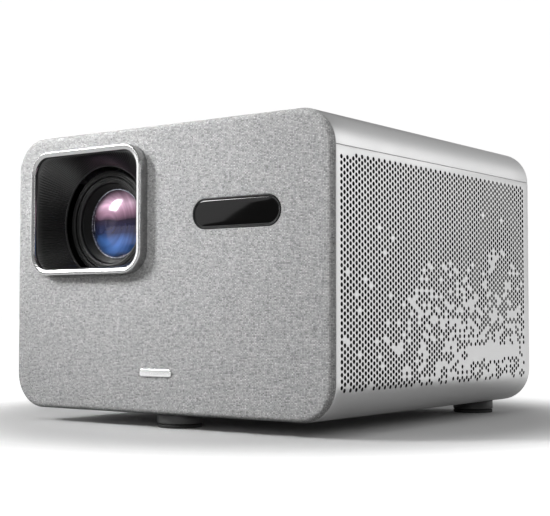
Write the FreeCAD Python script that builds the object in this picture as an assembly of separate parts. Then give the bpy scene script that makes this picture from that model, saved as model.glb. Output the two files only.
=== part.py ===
import FreeCAD, Part
import math
import os

V = FreeCAD.Vector

# Home projector, a rounded box lying along Y.  Working coordinates: X to the
# right seen from the front, Y backwards from the front cover's face, Z up from
# the table.  Every shape is moved by Y_ORIGIN at the end, so that the origin is
# the bottom centre of the whole object.  All lengths in millimetres.

# ---- driving dimensions ----
WIDTH = 250.0           # case width
HEIGHT = 175.3          # case height without feet
DEPTH = 252.4           # front cover face to rear edge
CORNER_R = 22.2         # radius of the four long edges
GAP = 8.6               # table to underside
SHELL_T = 1.8           # metal cover thickness
COVER_Y = 3.7           # where the metal covers start behind the front cover
SEAM_Z = 162.15         # seam between top cover and side panels
SEAM_GAP = 0.3
BASE_T = 2.5            # base plate thickness
Y_ORIGIN = -122.85      # shift from working coordinates to the part's frame

LENS_X, LENS_Z = -58.2, 127.5       # optical axis
BEZEL_X, BEZEL_Z = -57.9, 133.55    # bezel centre
BEZEL_W, BEZEL_H, BEZEL_R = 96.1, 79.7, 15.0
BEZEL_PROUD = 6.7
OPEN_W, OPEN_H, OPEN_R = 89.0, 72.7, 11.6
HOOD_HOLE_R = 36.5
FOCUS_RING_R = 34.0
BARREL_R, BARREL_BORE = 30.2, 26.16
CELL_R = 26.1
GLASS_R = 22.4
MODULE, RING_TEETH, PINION_TEETH = 0.8, 84, 14
GEAR_Y0, GEAR_Y1 = 48.0, 54.0

WIN_X, WIN_Z, WIN_W, WIN_H = 58.25, 127.55, 64.5, 18.2

FOOT_R = 13.83
FEET = {"front": (0.0, 19.7), "rear_right": (89.5, 233.9), "rear_left": (-89.5, 233.9)}
SCREW_R, INSERT_BORE = 4.0, 4.06
TRIPOD_R, TRIPOD_XY = 3.175, (0.0, 150.0)
CEILING_R, CEILING_X, CEILING_Y = 2.0, 150.0, 100.0    # M4 holes, spacing
CEILING_C = (0.0, 120.0)

FAN = 80.0
FAN_T = 25.0
BOTTOM = GAP
TOP = GAP + HEIGHT
MID_Z = GAP + HEIGHT / 2.0

os.makedirs("parts", exist_ok=True)
NODES = {}


# ---- helpers ----
def box(x0, x1, y0, y1, z0, z1):
    return Part.makeBox(x1 - x0, y1 - y0, z1 - z0, V(x0, y0, z0))


def cyl_x(x0, x1, y, z, r):
    return Part.makeCylinder(r, x1 - x0, V(x0, y, z), V(1, 0, 0))


def cyl_y(y0, y1, x, z, r):
    return Part.makeCylinder(r, y1 - y0, V(x, y0, z), V(0, 1, 0))


def cyl_z(z0, z1, x, y, r):
    return Part.makeCylinder(r, z1 - z0, V(x, y, z0), V(0, 0, 1))


def rrect_wire(w, h, r, cx, cz, y):
    """Rounded rectangle in a plane of constant Y."""
    r = min(r, w / 2, h / 2)
    x0, x1, z0, z1 = cx - w / 2, cx + w / 2, cz - h / 2, cz + h / 2
    edges = []

    def arc(ax, az, a0):
        am, a1 = a0 + math.pi / 4, a0 + math.pi / 2
        p = [V(ax + r * math.cos(a), y, az + r * math.sin(a)) for a in (a0, am, a1)]
        edges.append(Part.Arc(*p).toShape())

    if w - 2 * r > 1e-3:
        edges.append(Part.makeLine(V(x0 + r, y, z0), V(x1 - r, y, z0)))
    arc(x1 - r, z0 + r, -math.pi / 2)
    if h - 2 * r > 1e-3:
        edges.append(Part.makeLine(V(x1, y, z0 + r), V(x1, y, z1 - r)))
    arc(x1 - r, z1 - r, 0)
    if w - 2 * r > 1e-3:
        edges.append(Part.makeLine(V(x1 - r, y, z1), V(x0 + r, y, z1)))
    arc(x0 + r, z1 - r, math.pi / 2)
    if h - 2 * r > 1e-3:
        edges.append(Part.makeLine(V(x0, y, z1 - r), V(x0, y, z0 + r)))
    arc(x0 + r, z0 + r, math.pi)
    return Part.Wire(Part.__sortEdges__(edges))


def rrect(w, h, r, cx, cz, y0, y1):
    return Part.Face(rrect_wire(w, h, r, cx, cz, y0)).extrude(V(0, y1 - y0, 0))


def outer(inset, y0, y1):
    """The case's cross-section, moved inwards by inset."""
    return rrect(WIDTH - 2 * inset, HEIGHT - 2 * inset, CORNER_R - inset, 0, MID_Z, y0, y1)


def round_front(shape, y, r):
    """Round the outer edges that lie in the front face at y."""
    bb = shape.BoundBox
    picked = []
    for e in shape.Edges:
        b = e.BoundBox
        if abs(b.YMin - y) < 1e-4 and abs(b.YMax - y) < 1e-4:
            picked.append(e)
    return shape.makeFillet(r, picked)


def revolve(points, cx, cz):
    """Solid of revolution about the Y axis line through (cx, cz); points are
    (radius, y) pairs of a closed profile."""
    p = [V(cx + r, y, cz) for r, y in points]
    p.append(p[0])
    return Part.Face(Part.makePolygon(p)).revolve(V(cx, 0, cz), V(0, 1, 0), 360)


def revolve_x(points, cy, cz):
    """The same about an X axis line; points are (radius, x) pairs."""
    p = [V(x, cy + r, cz) for r, x in points]
    p.append(p[0])
    return Part.Face(Part.makePolygon(p)).revolve(V(0, cy, cz), V(1, 0, 0), 360)


def cut(shape, *tools):
    return shape.cut(Part.makeCompound(list(tools)))


def fuse(first, *rest):
    s = first
    for r in rest:
        s = s.fuse(r)
    return s.removeSplitter()


def mirrored(shape):
    return shape.mirror(V(0, 0, 0), V(1, 0, 0))


def node(name, *shapes):
    solids = []
    for s in shapes:
        solids += s.Solids
    for s in solids:
        if not s.isValid() or s.Volume < 0.5:
            print("BAD SOLID", name, s.Volume)
    moved = []
    for s in solids:
        c = s.copy()
        c.translate(V(0, Y_ORIGIN, 0))
        moved.append(c)
    out = moved[0] if len(moved) == 1 else Part.makeCompound(moved)
    NODES[name] = out
    out.exportStep("parts/%s.step" % name)


# ---- front: stretched fabric over a rigid carrier ----
bezel_hole = rrect(92.8, 76.4, 13.6, BEZEL_X, BEZEL_Z, -5, 20)
window_hole = rrect(WIN_W + 0.3, WIN_H + 0.3, WIN_H / 2 + 0.15, WIN_X, WIN_Z, -5, 20)

fabric = round_front(outer(0, 0, 3.4), 0.0, 3.2)
fabric_in = round_front(outer(1.3, 1.3, 5.0), 1.3, 2.0)
node("front_fabric", cut(fabric, fabric_in, bezel_hole, window_hole))

carrier = round_front(outer(1.35, 1.35, 3.4), 1.35, 2.0)
rim = outer(2.1, 4.5, 14.0)
rear_part = cut(fuse(outer(2.1, 3.3, 6.0), cut(rim, outer(5.0, 6.0, 20.0))),
                box(-102.9, 102.9, 3.5, 20.0, 0, 11.4), box(-12.0, 12.0, 6.0, 20.0, 0, 14.0))
carrier = fuse(carrier, rear_part)
bosses = [cyl_y(5.5, 12.55, x, z, 2.6) for x in (33.0, 84.0) for z in (115.2, 139.9)]
carrier = fuse(carrier, *bosses)
node("front_carrier", cut(carrier, bezel_hole, window_hole))

# ---- lens bezel: a satin metal ring standing proud of the fabric ----
flange = round_front(rrect(BEZEL_W, BEZEL_H, BEZEL_R, BEZEL_X, BEZEL_Z, -BEZEL_PROUD, -0.05), -BEZEL_PROUD, 0.9)
tube = rrect(92.4, 76.0, 13.4, BEZEL_X, BEZEL_Z, -1.0, 8.0)
opening = rrect(OPEN_W, OPEN_H, OPEN_R, BEZEL_X, BEZEL_Z, -20, 20)
node("lens_bezel", cut(fuse(flange, tube), opening))


# ---- lens hood: a funnel from the rounded opening to a round hole.  The round
# hole's lower part is cut off level with the opening's floor. ----
def by_angle(kind, a):
    """Point of an outline in the direction a from the optical axis."""
    dx, dz = math.cos(a), math.sin(a)
    if kind == "hole":
        x, z = LENS_X + HOOD_HOLE_R * dx, LENS_Z + HOOD_HOLE_R * dz
        if z < 98.6:
            k = (98.6 - LENS_Z) / dz
            x, z = LENS_X + k * dx, 98.6
        return x, z
    w, h, r = 86.4, 70.2, 10.3
    lo, hi = 0.0, 90.0
    for _ in range(60):
        m = (lo + hi) / 2
        px, pz = abs(LENS_X + m * dx - BEZEL_X), abs(LENS_Z + m * dz - BEZEL_Z)
        qx, qz = px - (w / 2 - r), pz - (h / 2 - r)
        d = math.hypot(max(qx, 0), max(qz, 0)) + min(max(qx, qz), 0) - r
        if d < 0:
            lo = m
        else:
            hi = m
    return LENS_X + lo * dx, LENS_Z + lo * dz


def outline(kind, y, n=72):
    pts = []
    for i in range(n):
        x, z = by_angle(kind, 2 * math.pi * (i + 0.5) / n)
        pts.append(V(x, y, z))
    pts.append(pts[0])
    return Part.makePolygon(pts)


funnel = Part.makeLoft([outline("open", -4.4), outline("hole", 14.5)], True, True)
mouth = Part.Face(outline("open", -6.0)).extrude(V(0, 1.7, 0))
throat = Part.Face(outline("hole", 14.4)).extrude(V(0, 3.0, 0))
hood = fuse(rrect(88.6, 72.3, 11.4, BEZEL_X, BEZEL_Z, -4.4, 8.6),
            rrect(98.0, 82.0, 14.0, BEZEL_X, BEZEL_Z, 8.4, 15.5))
node("lens_hood", cut(hood, funnel, mouth, throat))

# ---- sensor window ----
trim = rrect(WIN_W, WIN_H, WIN_H / 2, WIN_X, WIN_Z, -0.1, 6.0)
trim = cut(trim, rrect(62.2, 15.9, 7.95, WIN_X, WIN_Z, -1, 2.7), rrect(59.0, 13.0, 6.5, WIN_X, WIN_Z, 2, 9))
node("ir_window_trim", trim)
node("ir_window", rrect(62.0, 15.7, 7.85, WIN_X, WIN_Z, 0.2, 2.65))
pcb = cut(box(29, 88, 12.6, 14.2, 111.5, 143.5), *[cyl_y(10, 16, x, z, 1.2) for x in (33.0, 84.0) for z in (115.2, 139.9)])
camera = fuse(box(70.0, 80.0, 8.4, 12.55, 122.5, 132.5), cyl_y(4.4, 8.5, 75.0, WIN_Z, 3.3))
ranger = box(39.5, 46.5, 6.4, 12.55, 124.8, 130.3)
receiver = fuse(box(55.0, 61.0, 7.0, 12.55, 124.5, 130.6), cyl_y(5.6, 7.1, 58.0, WIN_Z, 2.4))
node("sensor_board", pcb, camera, ranger, receiver)

# ---- blank badge on the fabric ----
node("front_badge", round_front(rrect(25.0, 4.6, 1.2, -2.5, 33.4, -0.9, -0.02), -0.9, 0.35))

# ---- metal covers ----
SX = WIDTH / 2
inner = outer(SHELL_T, 0, 300)
shell = cut(outer(0, COVER_Y, DEPTH), inner)
node("top_cover", shell.common(box(-200, 200, 0, 300, SEAM_Z + SEAM_GAP / 2, 300)))
side = shell.common(box(SX - CORNER_R, 200, 0, 300, 0, SEAM_Z - SEAM_GAP / 2))
node("side_panel_right", side)
node("side_panel_left", mirrored(side))
flt = box(SX - SHELL_T - 0.9, SX - SHELL_T - 0.3, 14.3, 245.0, 32.0, 160.0)
flt = flt.cut(box(100, 130, 120, 216, 20, 62))
node("side_filters", flt, mirrored(flt))

# ---- base plate with the threaded holes for mounting ----
BX = SX - CORNER_R - 0.3
post_xy = [(x * s, y) for s in (-1, 1) for x, y in ((90.0, 26.0), (78.0, 123.0), (75.8, 243.4))]
base = box(-BX, BX, COVER_Y, DEPTH, BOTTOM, BOTTOM + BASE_T)
holes = []
for x, y in post_xy:
    holes += [cyl_z(0, 20, x, y, 1.7), cyl_z(0, BOTTOM + 1.3, x, y, 3.3)]
for x, y in FEET.values():
    holes.append(cyl_z(0, 20, x, y, 6.6))
mount_boss = [cyl_z(BOTTOM + BASE_T - 0.2, 19.6, CEILING_C[0] + sx * CEILING_X / 2, CEILING_C[1] + sy * CEILING_Y / 2, 4.5)
              for sx in (-1, 1) for sy in (-1, 1)]
mount_boss.append(cyl_z(BOTTOM + BASE_T - 0.2, 19.6, TRIPOD_XY[0], TRIPOD_XY[1], 8.0))
for sx in (-1, 1):
    for sy in (-1, 1):
        holes.append(cyl_z(0, 18.6, CEILING_C[0] + sx * CEILING_X / 2, CEILING_C[1] + sy * CEILING_Y / 2, CEILING_R))
holes.append(cyl_z(0, 18.6, TRIPOD_XY[0], TRIPOD_XY[1], TRIPOD_R))
slots = []
for i in range(9):
    for x0 in (-46.0, 18.0):
        slots.append(box(x0, x0 + 28.0, 60.0 + 7.0 * i, 62.4 + 7.0 * i, 0, 20))
node("base_plate", cut(fuse(base, *mount_boss), *(holes + slots)))

# ---- rear panel, set in from the rear edge, with its cut-outs ----
RY0, RY1 = 248.0, 250.6
PORTS = {"hdmi_a": (-60.0, 27.4), "hdmi_b": (-37.0, 27.4), "usb": (-13.0, 27.4), "audio": (8.0, 27.0)}
INLET_X, INLET_Z = 78.0, 79.0
KEY_Z = 152.0
KEYS = {"power_button": (88.0, 5.6), "menu_button": (68.0, 4.2), "minus_button": (54.0, 4.2), "plus_button": (40.0, 4.2)}
rear = rrect(WIDTH - 2 * SHELL_T - 0.6, HEIGHT - 2 * SHELL_T - 2.2, CORNER_R - SHELL_T - 0.8, 0, MID_Z + 0.55, RY0, RY1)
icuts = []
for n in ("hdmi_a", "hdmi_b"):
    x, z = PORTS[n]
    icuts.append(box(x - 7.9, x + 7.9, 240, 260, z - 4.1, z + 3.3))
x, z = PORTS["usb"]
icuts.append(box(x - 6.9, x + 6.9, 240, 260, z - 4.1, z + 3.6))
x, z = PORTS["audio"]
icuts.append(box(x - 3.7, x + 3.7, 240, 260, z - 4.1, z + 3.6))
# a steel plate behind a long window in the rear panel frames the sockets
node("io_plate", cut(box(-78.0, 22.0, 247.1, 247.95, 17.0, 38.0), *icuts))
rcuts = [box(-75.0, 19.0, 240, 260, 19.8, 35.4), rrect(27.6, 20.0, 3.0, INLET_X, INLET_Z, 240, 260)]
for kx, kr in KEYS.values():
    rcuts.append(cyl_y(240, 260, kx, KEY_Z, kr + 0.2))
for i in range(12):
    for j in range(5):
        x0 = -112.0 + 26.0 * j
        rcuts.append(rrect(22.0, 3.0, 1.5, x0 + 11.0, 84.0 + 6.4 * i, 240, 260))
for i in range(5):
    rcuts.append(rrect(22.0, 3.0, 1.5, 101.0, 104.0 + 6.4 * i, 240, 260))
rear_screw_xz = [(-106.0, 44.0), (106.0, 44.0), (-106.0, 168.0), (106.0, 168.0), (0.0, 168.0), (25.0, 46.0)]
for x, z in rear_screw_xz:
    rcuts.append(cyl_y(240, 260, x, z, 1.7))
node("rear_panel", cut(rear, *rcuts))
blocks = []
for x, z in rear_screw_xz:
    blocks.append(cut(box(x - 5, x + 5, 238.0, 247.7, z - 4.5, z + 4.5), cyl_y(230, 260, x, z, 1.6)))
node("rear_brackets", *blocks)

# ---- chassis: a shelf on hollow posts ----
SHELF_Z0, SHELF_Z1 = 60.0, 61.5
shelf = box(-117.0, 117.0, 16.0, 237.0, SHELF_Z0, SHELF_Z1)
shelf = fuse(shelf, *[box(x - 5, x + 5, 236.0, 247.5, SHELF_Z0, SHELF_Z1) for x in (-75.8, 75.8)])
sh = [cyl_z(50, 70, x, y, 1.7) for x, y in post_xy]
sh.append(box(-76, -38, 143.5, 150, 50, 70))
node("chassis_shelf", cut(shelf, *sh))
posts = [cut(cyl_z(BOTTOM + BASE_T + 0.05, SHELF_Z0 - 0.05, x, y, 3.5), cyl_z(0, 80, x, y, 1.6)) for x, y in post_xy]
node("chassis_posts", *posts)


def screw(axis, x, y, z, out):
    """M3 pan-head screw; its head's seat is at the point given."""
    s = Part.makeCylinder(1.5, 9.0, V(0, 0, -9.0)).fuse(Part.makeCylinder(2.9, 1.2, V(0, 0, 0.02)))
    s = s.removeSplitter().cut(Part.makeCylinder(1.0, 0.8, V(0, 0, 0.6)))
    if axis == "z" and out < 0:
        s.rotate(V(0, 0, 0), V(1, 0, 0), 180)
    if axis == "y":
        s.rotate(V(0, 0, 0), V(1, 0, 0), -90)
    s.translate(V(x, y, z))
    return s


screws = [screw("z", x, y, BOTTOM + 1.3, -1) for x, y in post_xy]
screws += [screw("z", x, y, SHELF_Z1, 1) for x, y in post_xy]
screws += [screw("y", x, RY1, z, 1) for x, z in rear_screw_xz]
node("case_screws", *screws)

# ---- levelling feet: a pad that only goes up and down under a knob that turns,
# whose screw runs in a brass insert pressed into the base plate ----
ins = []
for x, y in FEET.values():
    b = fuse(cyl_z(BOTTOM + 0.3, 20.0, x, y, 6.5), cyl_z(BOTTOM + BASE_T + 0.05, BOTTOM + BASE_T + 1.6, x, y, 9.0))
    ins.append(cut(b, cyl_z(0, 30, x, y, INSERT_BORE)))
node("foot_inserts", *ins)
for name, (x, y) in FEET.items():
    pad = cyl_z(0, 2.0, x, y, FOOT_R - 0.2)
    pad = pad.makeChamfer(0.5, [e for e in pad.Edges if abs(e.BoundBox.ZMax) < 1e-4 and abs(e.BoundBox.ZMin) < 1e-4])
    pad = fuse(pad, cyl_z(1.9, 5.0, x, y, 4.5))
    node("%s_foot_pad" % name, pad)
    knob = cyl_z(2.5, 8.2, x, y, FOOT_R)
    knob = knob.makeChamfer(0.4, [e for e in knob.Edges if abs(e.BoundBox.ZMax - e.BoundBox.ZMin) < 1e-4])
    knob = cut(knob, cyl_z(0, 5.35, x, y, 4.6))
    knob = fuse(knob, cyl_z(8.1, 30.0, x, y, SCREW_R))
    node("%s_foot_screw" % name, knob)

# ---- lens ----
barrel = revolve([(BARREL_BORE, 17.6), (29.6, 17.6), (BARREL_R, 18.2), (BARREL_R, 57.0), (38.0, 57.0), (38.0, 61.0),
                  (20.0, 61.0), (20.0, 76.0), (17.1, 76.0), (17.1, 60.0), (BARREL_BORE, 56.0)], LENS_X, LENS_Z)
node("lens_barrel", barrel)


def gear(teeth, y0, y1, cx, cz, phase, thin):
    """Spur gear with involute teeth, 20 degree pressure angle."""
    rp = MODULE * teeth / 2
    rb = rp * math.cos(math.radians(20))
    ra, rr = rp + 0.92 * MODULE, rp - 1.2 * MODULE
    inv = math.tan(math.radians(20)) - math.radians(20)
    half = math.pi / (2 * teeth) - thin / (2 * rp)
    pts = []
    for k in range(teeth):
        c = phase + 2 * math.pi * k / teeth
        left = []
        r_lo = max(rb, rr)
        for s in range(5):
            r = r_lo + (ra - r_lo) * s / 4.0
            al = math.acos(min(1.0, rb / r))
            th = half + inv - (math.tan(al) - al)
            left.append((r, th))
        pts.append((rr, c - left[0][1] - 0.002))
        pts += [(r, c - th) for r, th in left]
        pts += [(r, c + th) for r, th in reversed(left)]
        pts.append((rr, c + left[0][1] + 0.002))
    p = [V(cx + r * math.cos(a), y0, cz + r * math.sin(a)) for r, a in pts]
    p.append(p[0])
    return Part.Face(Part.makePolygon(p)).extrude(V(0, y1 - y0, 0))


MOTOR_A = math.radians(-20.0)
GEAR_C = MODULE * (RING_TEETH + PINION_TEETH) / 2 + 0.10
MOTOR_X = LENS_X + GEAR_C * math.cos(MOTOR_A)
MOTOR_Z = LENS_Z + GEAR_C * math.sin(MOTOR_A)
ring = revolve([(BARREL_R + 0.06, 17.0), (FOCUS_RING_R - 0.5, 17.0), (FOCUS_RING_R, 17.5), (FOCUS_RING_R, 45.5),
                (33.0, 46.5), (33.0, GEAR_Y0 + 0.5), (BARREL_R + 0.06, GEAR_Y0 + 0.5)], LENS_X, LENS_Z)
teeth = cut(gear(RING_TEETH, GEAR_Y0, GEAR_Y1, LENS_X, LENS_Z, MOTOR_A, 0.06), cyl_y(0, 90, LENS_X, LENS_Z, BARREL_R + 0.06))
node("focus_ring", fuse(ring, teeth))
pin = gear(PINION_TEETH, GEAR_Y0 + 0.3, GEAR_Y1 - 0.3, MOTOR_X, MOTOR_Z, MOTOR_A + math.pi + math.pi / PINION_TEETH, 0.06)
node("focus_pinion", fuse(pin, cyl_y(38.3, GEAR_Y1 + 0.4, MOTOR_X, MOTOR_Z, 0.75)))
motor = fuse(cyl_y(22.0, 44.0, MOTOR_X, MOTOR_Z, 4.9),
             box(MOTOR_X + 2.0, MOTOR_X + 12.0, 22.0, 23.6, MOTOR_Z - 5, MOTOR_Z + 5),
             box(MOTOR_X + 9.0, MOTOR_X + 12.0, 15.6, 23.6, MOTOR_Z - 5, MOTOR_Z + 5))
node("focus_motor", cut(motor, cyl_y(38.0, 60.0, MOTOR_X, MOTOR_Z, 0.81)))

cell = revolve([(22.9, 24.9), (25.6, 19.4), (CELL_R, 19.8), (CELL_R, 52.0), (18.0, 52.0), (18.0, 29.4), (22.6, 29.4), (22.6, 24.9)],
               LENS_X, LENS_Z)
node("front_lens_cell", cell)


def lens(r, y_edge, rad, thick, y_back):
    """Plano-convex glass, its curved face towards the front."""
    sag = rad - math.sqrt(rad * rad - r * r)
    c = Part.makeSphere(rad, V(LENS_X, y_edge - sag + rad, LENS_Z))
    return c.common(cyl_y(y_edge - sag - 1, y_back, LENS_X, LENS_Z, r))


node("front_lens_glass", lens(GLASS_R, 25.2, 45.0, 0, 29.3))
node("lens_retaining_ring", revolve([(21.9, 23.9), (22.75, 23.9), (22.75, 24.6), (21.9, 24.6)], LENS_X, LENS_Z))
node("inner_lens_glass", lens(17.8, 36.0, 32.0, 0, 41.5))
node("rear_lens_glass", lens(17.0, 67.0, 60.0, 0, 72.0))

# ---- light engine ----
EX0, EX1, EY0, EY1, EZ0, EZ1 = -112.0, -6.0, 61.3, 140.0, 84.0, 162.0
house = cut(box(EX0, EX1, EY0, EY1, EZ0, 158.6), box(EX0 + 3, EX1 - 3, EY0 + 3, EY1 - 3, EZ0 + 3, 170))
house = cut(house, cyl_y(60, 70, LENS_X, LENS_Z, 20.3), box(-70, -46, 130, 145, 118, 137))
led_y = [(74.0, 90.0), (95.0, 111.0), (116.0, 132.0)]
house = cut(house, *[box(-12, 0, a + 2, b - 2, 120, 132) for a, b in led_y])
house = fuse(house, *[box(x, x + 12, y, y + 12, SHELF_Z1 + 0.05, EZ0 + 0.1) for x in (-108, -24) for y in (72, 124)])
node("light_engine_housing", house)
lid = fuse(box(EX0, EX1, EY0, EY1, 158.7, 161.0), *[box(EX0 + 8, EX1 - 8, y, y + 2, 160.9, 163.0) for y in (72, 88, 104, 120)])
node("light_engine_lid", lid)
leds = []
for a, b in led_y:
    leds.append(fuse(box(-5.9, -4.0, a, b, 114, 138), box(-4.1, 7.4, a + 1, b - 1, 115, 137), box(-8.8, -5.8, a + 3, b - 3, 121, 131)))
node("led_modules", *leds)
pipes = [fuse(cyl_y(48.0, 131.0, 10.5, z, 2.95), Part.makeSphere(2.95, V(10.5, 48.0, z)), Part.makeSphere(2.95, V(10.5, 131.0, z)))
         for z in (117.0, 126.0, 135.0)]
node("heat_pipes", *pipes)
sink = fuse(box(13.6, 17.0, 44.0, 112.0, 74.0, 150.0), *[box(16.9, 90.0, 44.0, 112.0, 74.0 + 4.2 * i, 74.8 + 4.2 * i) for i in range(19)])
sink = fuse(sink, box(14.0, 26.0, 50.0, 56.0, SHELF_Z1 + 0.05, 74.2), box(14.0, 26.0, 100.0, 106.0, SHELF_Z1 + 0.05, 74.2))
node("led_heatsink", sink)
dmd = fuse(box(-100, -15, 143.2, 144.8, 92, 158), box(-70.5, -45.5, 140.2, 143.3, 117.5, 137.5), box(-74, -40, 144.7, 148.5, 94.0, 100.0))
node("dmd_board", dmd)
dsink = fuse(box(-86, -32, 144.9, 148.5, 104, 150), *[box(-86 + 4.4 * i, -85 + 4.4 * i, 148.4, 156.5, 104, 150) for i in range(13)])
node("dmd_heatsink", dsink)

# ---- fans ----


def fan_frame(y, z):
    s = cut(box(97.0, 122.0, y - 40, y + 40, z - 40, z + 40), cyl_x(90, 130, y, z, 38.2))
    s = cut(s, *[cyl_x(90, 130, y + a * 35.75, z + b * 35.75, 2.15) for a in (-1, 1) for b in (-1, 1)])
    arms = []
    for k in range(4):
        a = box(97.0, 99.5, y + 12, y + 39.0, z - 2, z + 2)
        a.rotate(V(97, y, z), V(1, 0, 0), 45 + 90 * k)
        arms.append(a)
    s = fuse(s, cyl_x(97.0, 99.5, y, z, 16.0), *arms)
    return cut(s, cyl_x(90, 130, y, z, 2.06))


def impeller(y, z):
    s = cyl_x(100.2, 120.5, y, z, 16.0)
    s = fuse(s, cyl_x(97.4, 100.3, y, z, 2.0))
    band = cyl_x(102.6, 119.6, y, z, 37.2)
    for k in range(7):
        b = box(-13.0, 13.0, -0.8, 0.8, 14.0, 40.0)
        b.rotate(V(0, 0, 0), V(0, 0, 1), 40)
        b.translate(V(111.1, 0, 0))
        b.rotate(V(0, 0, 0), V(1, 0, 0), 360.0 * k / 7)
        b.translate(V(0, y, z))
        s = s.fuse(b.common(band))
    return s


FAN_R, FAN_L = (78.0, 108.0), (197.0, 108.0)
node("intake_fan_frame", fan_frame(*FAN_R))
node("intake_fan_impeller", impeller(*FAN_R))
node("exhaust_fan_frame", mirrored(fan_frame(*FAN_L)))
node("exhaust_fan_impeller", mirrored(impeller(*FAN_L)))

# ---- main board and its ports ----
MB0, MB1 = 22.0, 23.6
mb = box(-72.0, 72.0, 116.0, 247.0, MB0, MB1)
mb = cut(mb, *[cyl_z(0, 40, x, y, 1.6) for x in (-66, 66) for y in (122, 225)])
chips = [box(-30, -6, 158, 182, MB1 - 0.1, MB1 + 2.4), box(0, 14, 158, 172, MB1 - 0.1, MB1 + 1.4), box(22, 36, 158, 172, MB1 - 0.1, MB1 + 1.4),
         box(-74 + 4, -42, 152.0, 157.0, MB1 - 0.1, MB1 + 4.0), box(40, 60, 190, 200, MB1 - 0.1, MB1 + 8.0)]
node("main_board", fuse(mb, *chips))
hd = []
for n in ("hdmi_a", "hdmi_b"):
    x, z = PORTS[n]
    s = box(x - 7.6, x + 7.6, 237.0, 250.4, MB1 + 0.05, z + 3.0)
    s = cut(s, box(x - 7.05, x + 7.05, 239.5, 260, z - 2.6, z + 2.5))
    hd.append(s)
node("hdmi_ports", *hd)
x, z = PORTS["usb"]
node("usb_port", cut(box(x - 6.6, x + 6.6, 233.0, 250.4, MB1 + 0.05, z + 3.3), box(x - 6.1, x + 6.1, 236.0, 260, z - 2.5, z + 2.7)))
x, z = PORTS["audio"]
jack = fuse(box(x - 3.4, x + 3.4, 236.0, 247.6, MB1 + 0.05, z + 3.3), cyl_y(247.5, 250.4, x, z, 3.0))
node("audio_jack", cut(jack, cyl_y(237.5, 260, x, z, 1.8)))

# ---- power supply ----
pb = box(24.0, 112.0, 126.0, 233.0, 66.0, 67.6)
pb = fuse(pb, *[box(x, x + 5, y, y + 5, SHELF_Z1 + 0.05, 66.1) for x in (25, 105) for y in (128, 225)])
caps = [cyl_z(67.5, 92.0, x, y, r) for x, y, r in ((96, 140, 9), (76, 140, 9), (98, 168, 7))]
transformer = [box(34, 62, 152, 184, 67.5, 71.0), box(31, 65, 156, 180, 70.9, 90.0), box(34, 62, 152, 184, 89.9, 93.0)]
node("power_board", fuse(pb, *caps, *transformer, box(88, 94, 180, 214, 67.5, 88), box(60, 78, 196, 214, 67.5, 80)))
inlet = fuse(rrect(27.2, 19.6, 2.8, INLET_X, INLET_Z, 233.5, 250.2), rrect(33.0, 24.0, 3.5, INLET_X, INLET_Z, 250.65, 252.2),
             rrect(27.2, 19.6, 2.8, INLET_X, INLET_Z, 250.1, 250.8))
inlet = cut(inlet, rrect(24.4, 16.6, 2.0, INLET_X, INLET_Z, 236.2, 260))
pins = [box(INLET_X + dx - 1.0, INLET_X + dx + 1.0, 236.1, 246.4, INLET_Z + dz - 2.0, INLET_Z + dz + 2.0) for dx, dz in ((-7.0, -2.0), (7.0, -2.0), (0.0, 2.0))]
node("power_inlet", fuse(inlet, *pins))

# ---- speakers, one each side, firing outwards through the side panels ----
SPY, SPZ = 168.0, 43.0
sbox = cut(box(84.0, 119.0, 128.0, 214.0, 27.0, 59.0), box(86.0, 117.0, 130.0, 212.0, 29.0, 57.0), cyl_x(110, 130, SPY, SPZ, 14.6))
node("speaker_boxes", sbox, mirrored(sbox))
drv = revolve_x([(0.0, 96.0), (10.5, 96.0), (10.5, 103.0), (13.9, 112.0), (14.2, 119.2), (15.6, 119.2), (15.6, 120.8), (12.6, 120.8),
                 (5.0, 112.5), (0.0, 113.8)], SPY, SPZ)
node("speaker_drivers", drv, mirrored(drv))

# ---- keypad ----
kb = box(32.0, 98.0, 240.2, 241.8, 143.0, 161.0)
domes = [cyl_y(241.7, 243.4, kx, KEY_Z, 2.6) for kx, kr in KEYS.values()]
ears = [box(x, x + 4, 238.0, 247.9, z, z + 4) for x in (29.5, 96.5) for z in (144.0, 156.0)]
node("keypad_board", fuse(kb, *(domes + ears)))
for kn, (kx, kr) in KEYS.items():
    cap = cyl_y(245.6, 251.4, kx, KEY_Z, kr)
    cap = cap.makeFillet(0.5, [e for e in cap.Edges if abs(e.BoundBox.YMin - 251.4) < 1e-4])
    node(kn, fuse(cap, cyl_y(245.2, 247.6, kx, KEY_Z, kr + 1.0), cyl_y(244.6, 245.3, kx, KEY_Z, 1.8)))

# ---- flat cable from the picture-chip board down to the main board ----
flat = Part.makePolygon([V(-70, 145.5, 93.6), V(-70, 145.5, 40.0), V(-70, 148.8, 31.8), V(-70, 154.4, 28.0), V(-70, 154.6, 28.4),
                         V(-70, 149.1, 32.2), V(-70, 145.9, 40.1), V(-70, 145.9, 93.6), V(-70, 145.5, 93.6)])
node("video_flex_cable", Part.Face(flat).extrude(V(26, 0, 0)))

bb = Part.makeCompound(list(NODES.values())).BoundBox
print(len(NODES), "nodes", "box", [round(v, 2) for v in (bb.XMin, bb.XMax, bb.YMin, bb.YMax, bb.ZMin, bb.ZMax)])
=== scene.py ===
import math

import bmesh
import bpy
import numpy as np
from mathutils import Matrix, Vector
from mathutils.geometry import delaunay_2d_cdt


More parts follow.
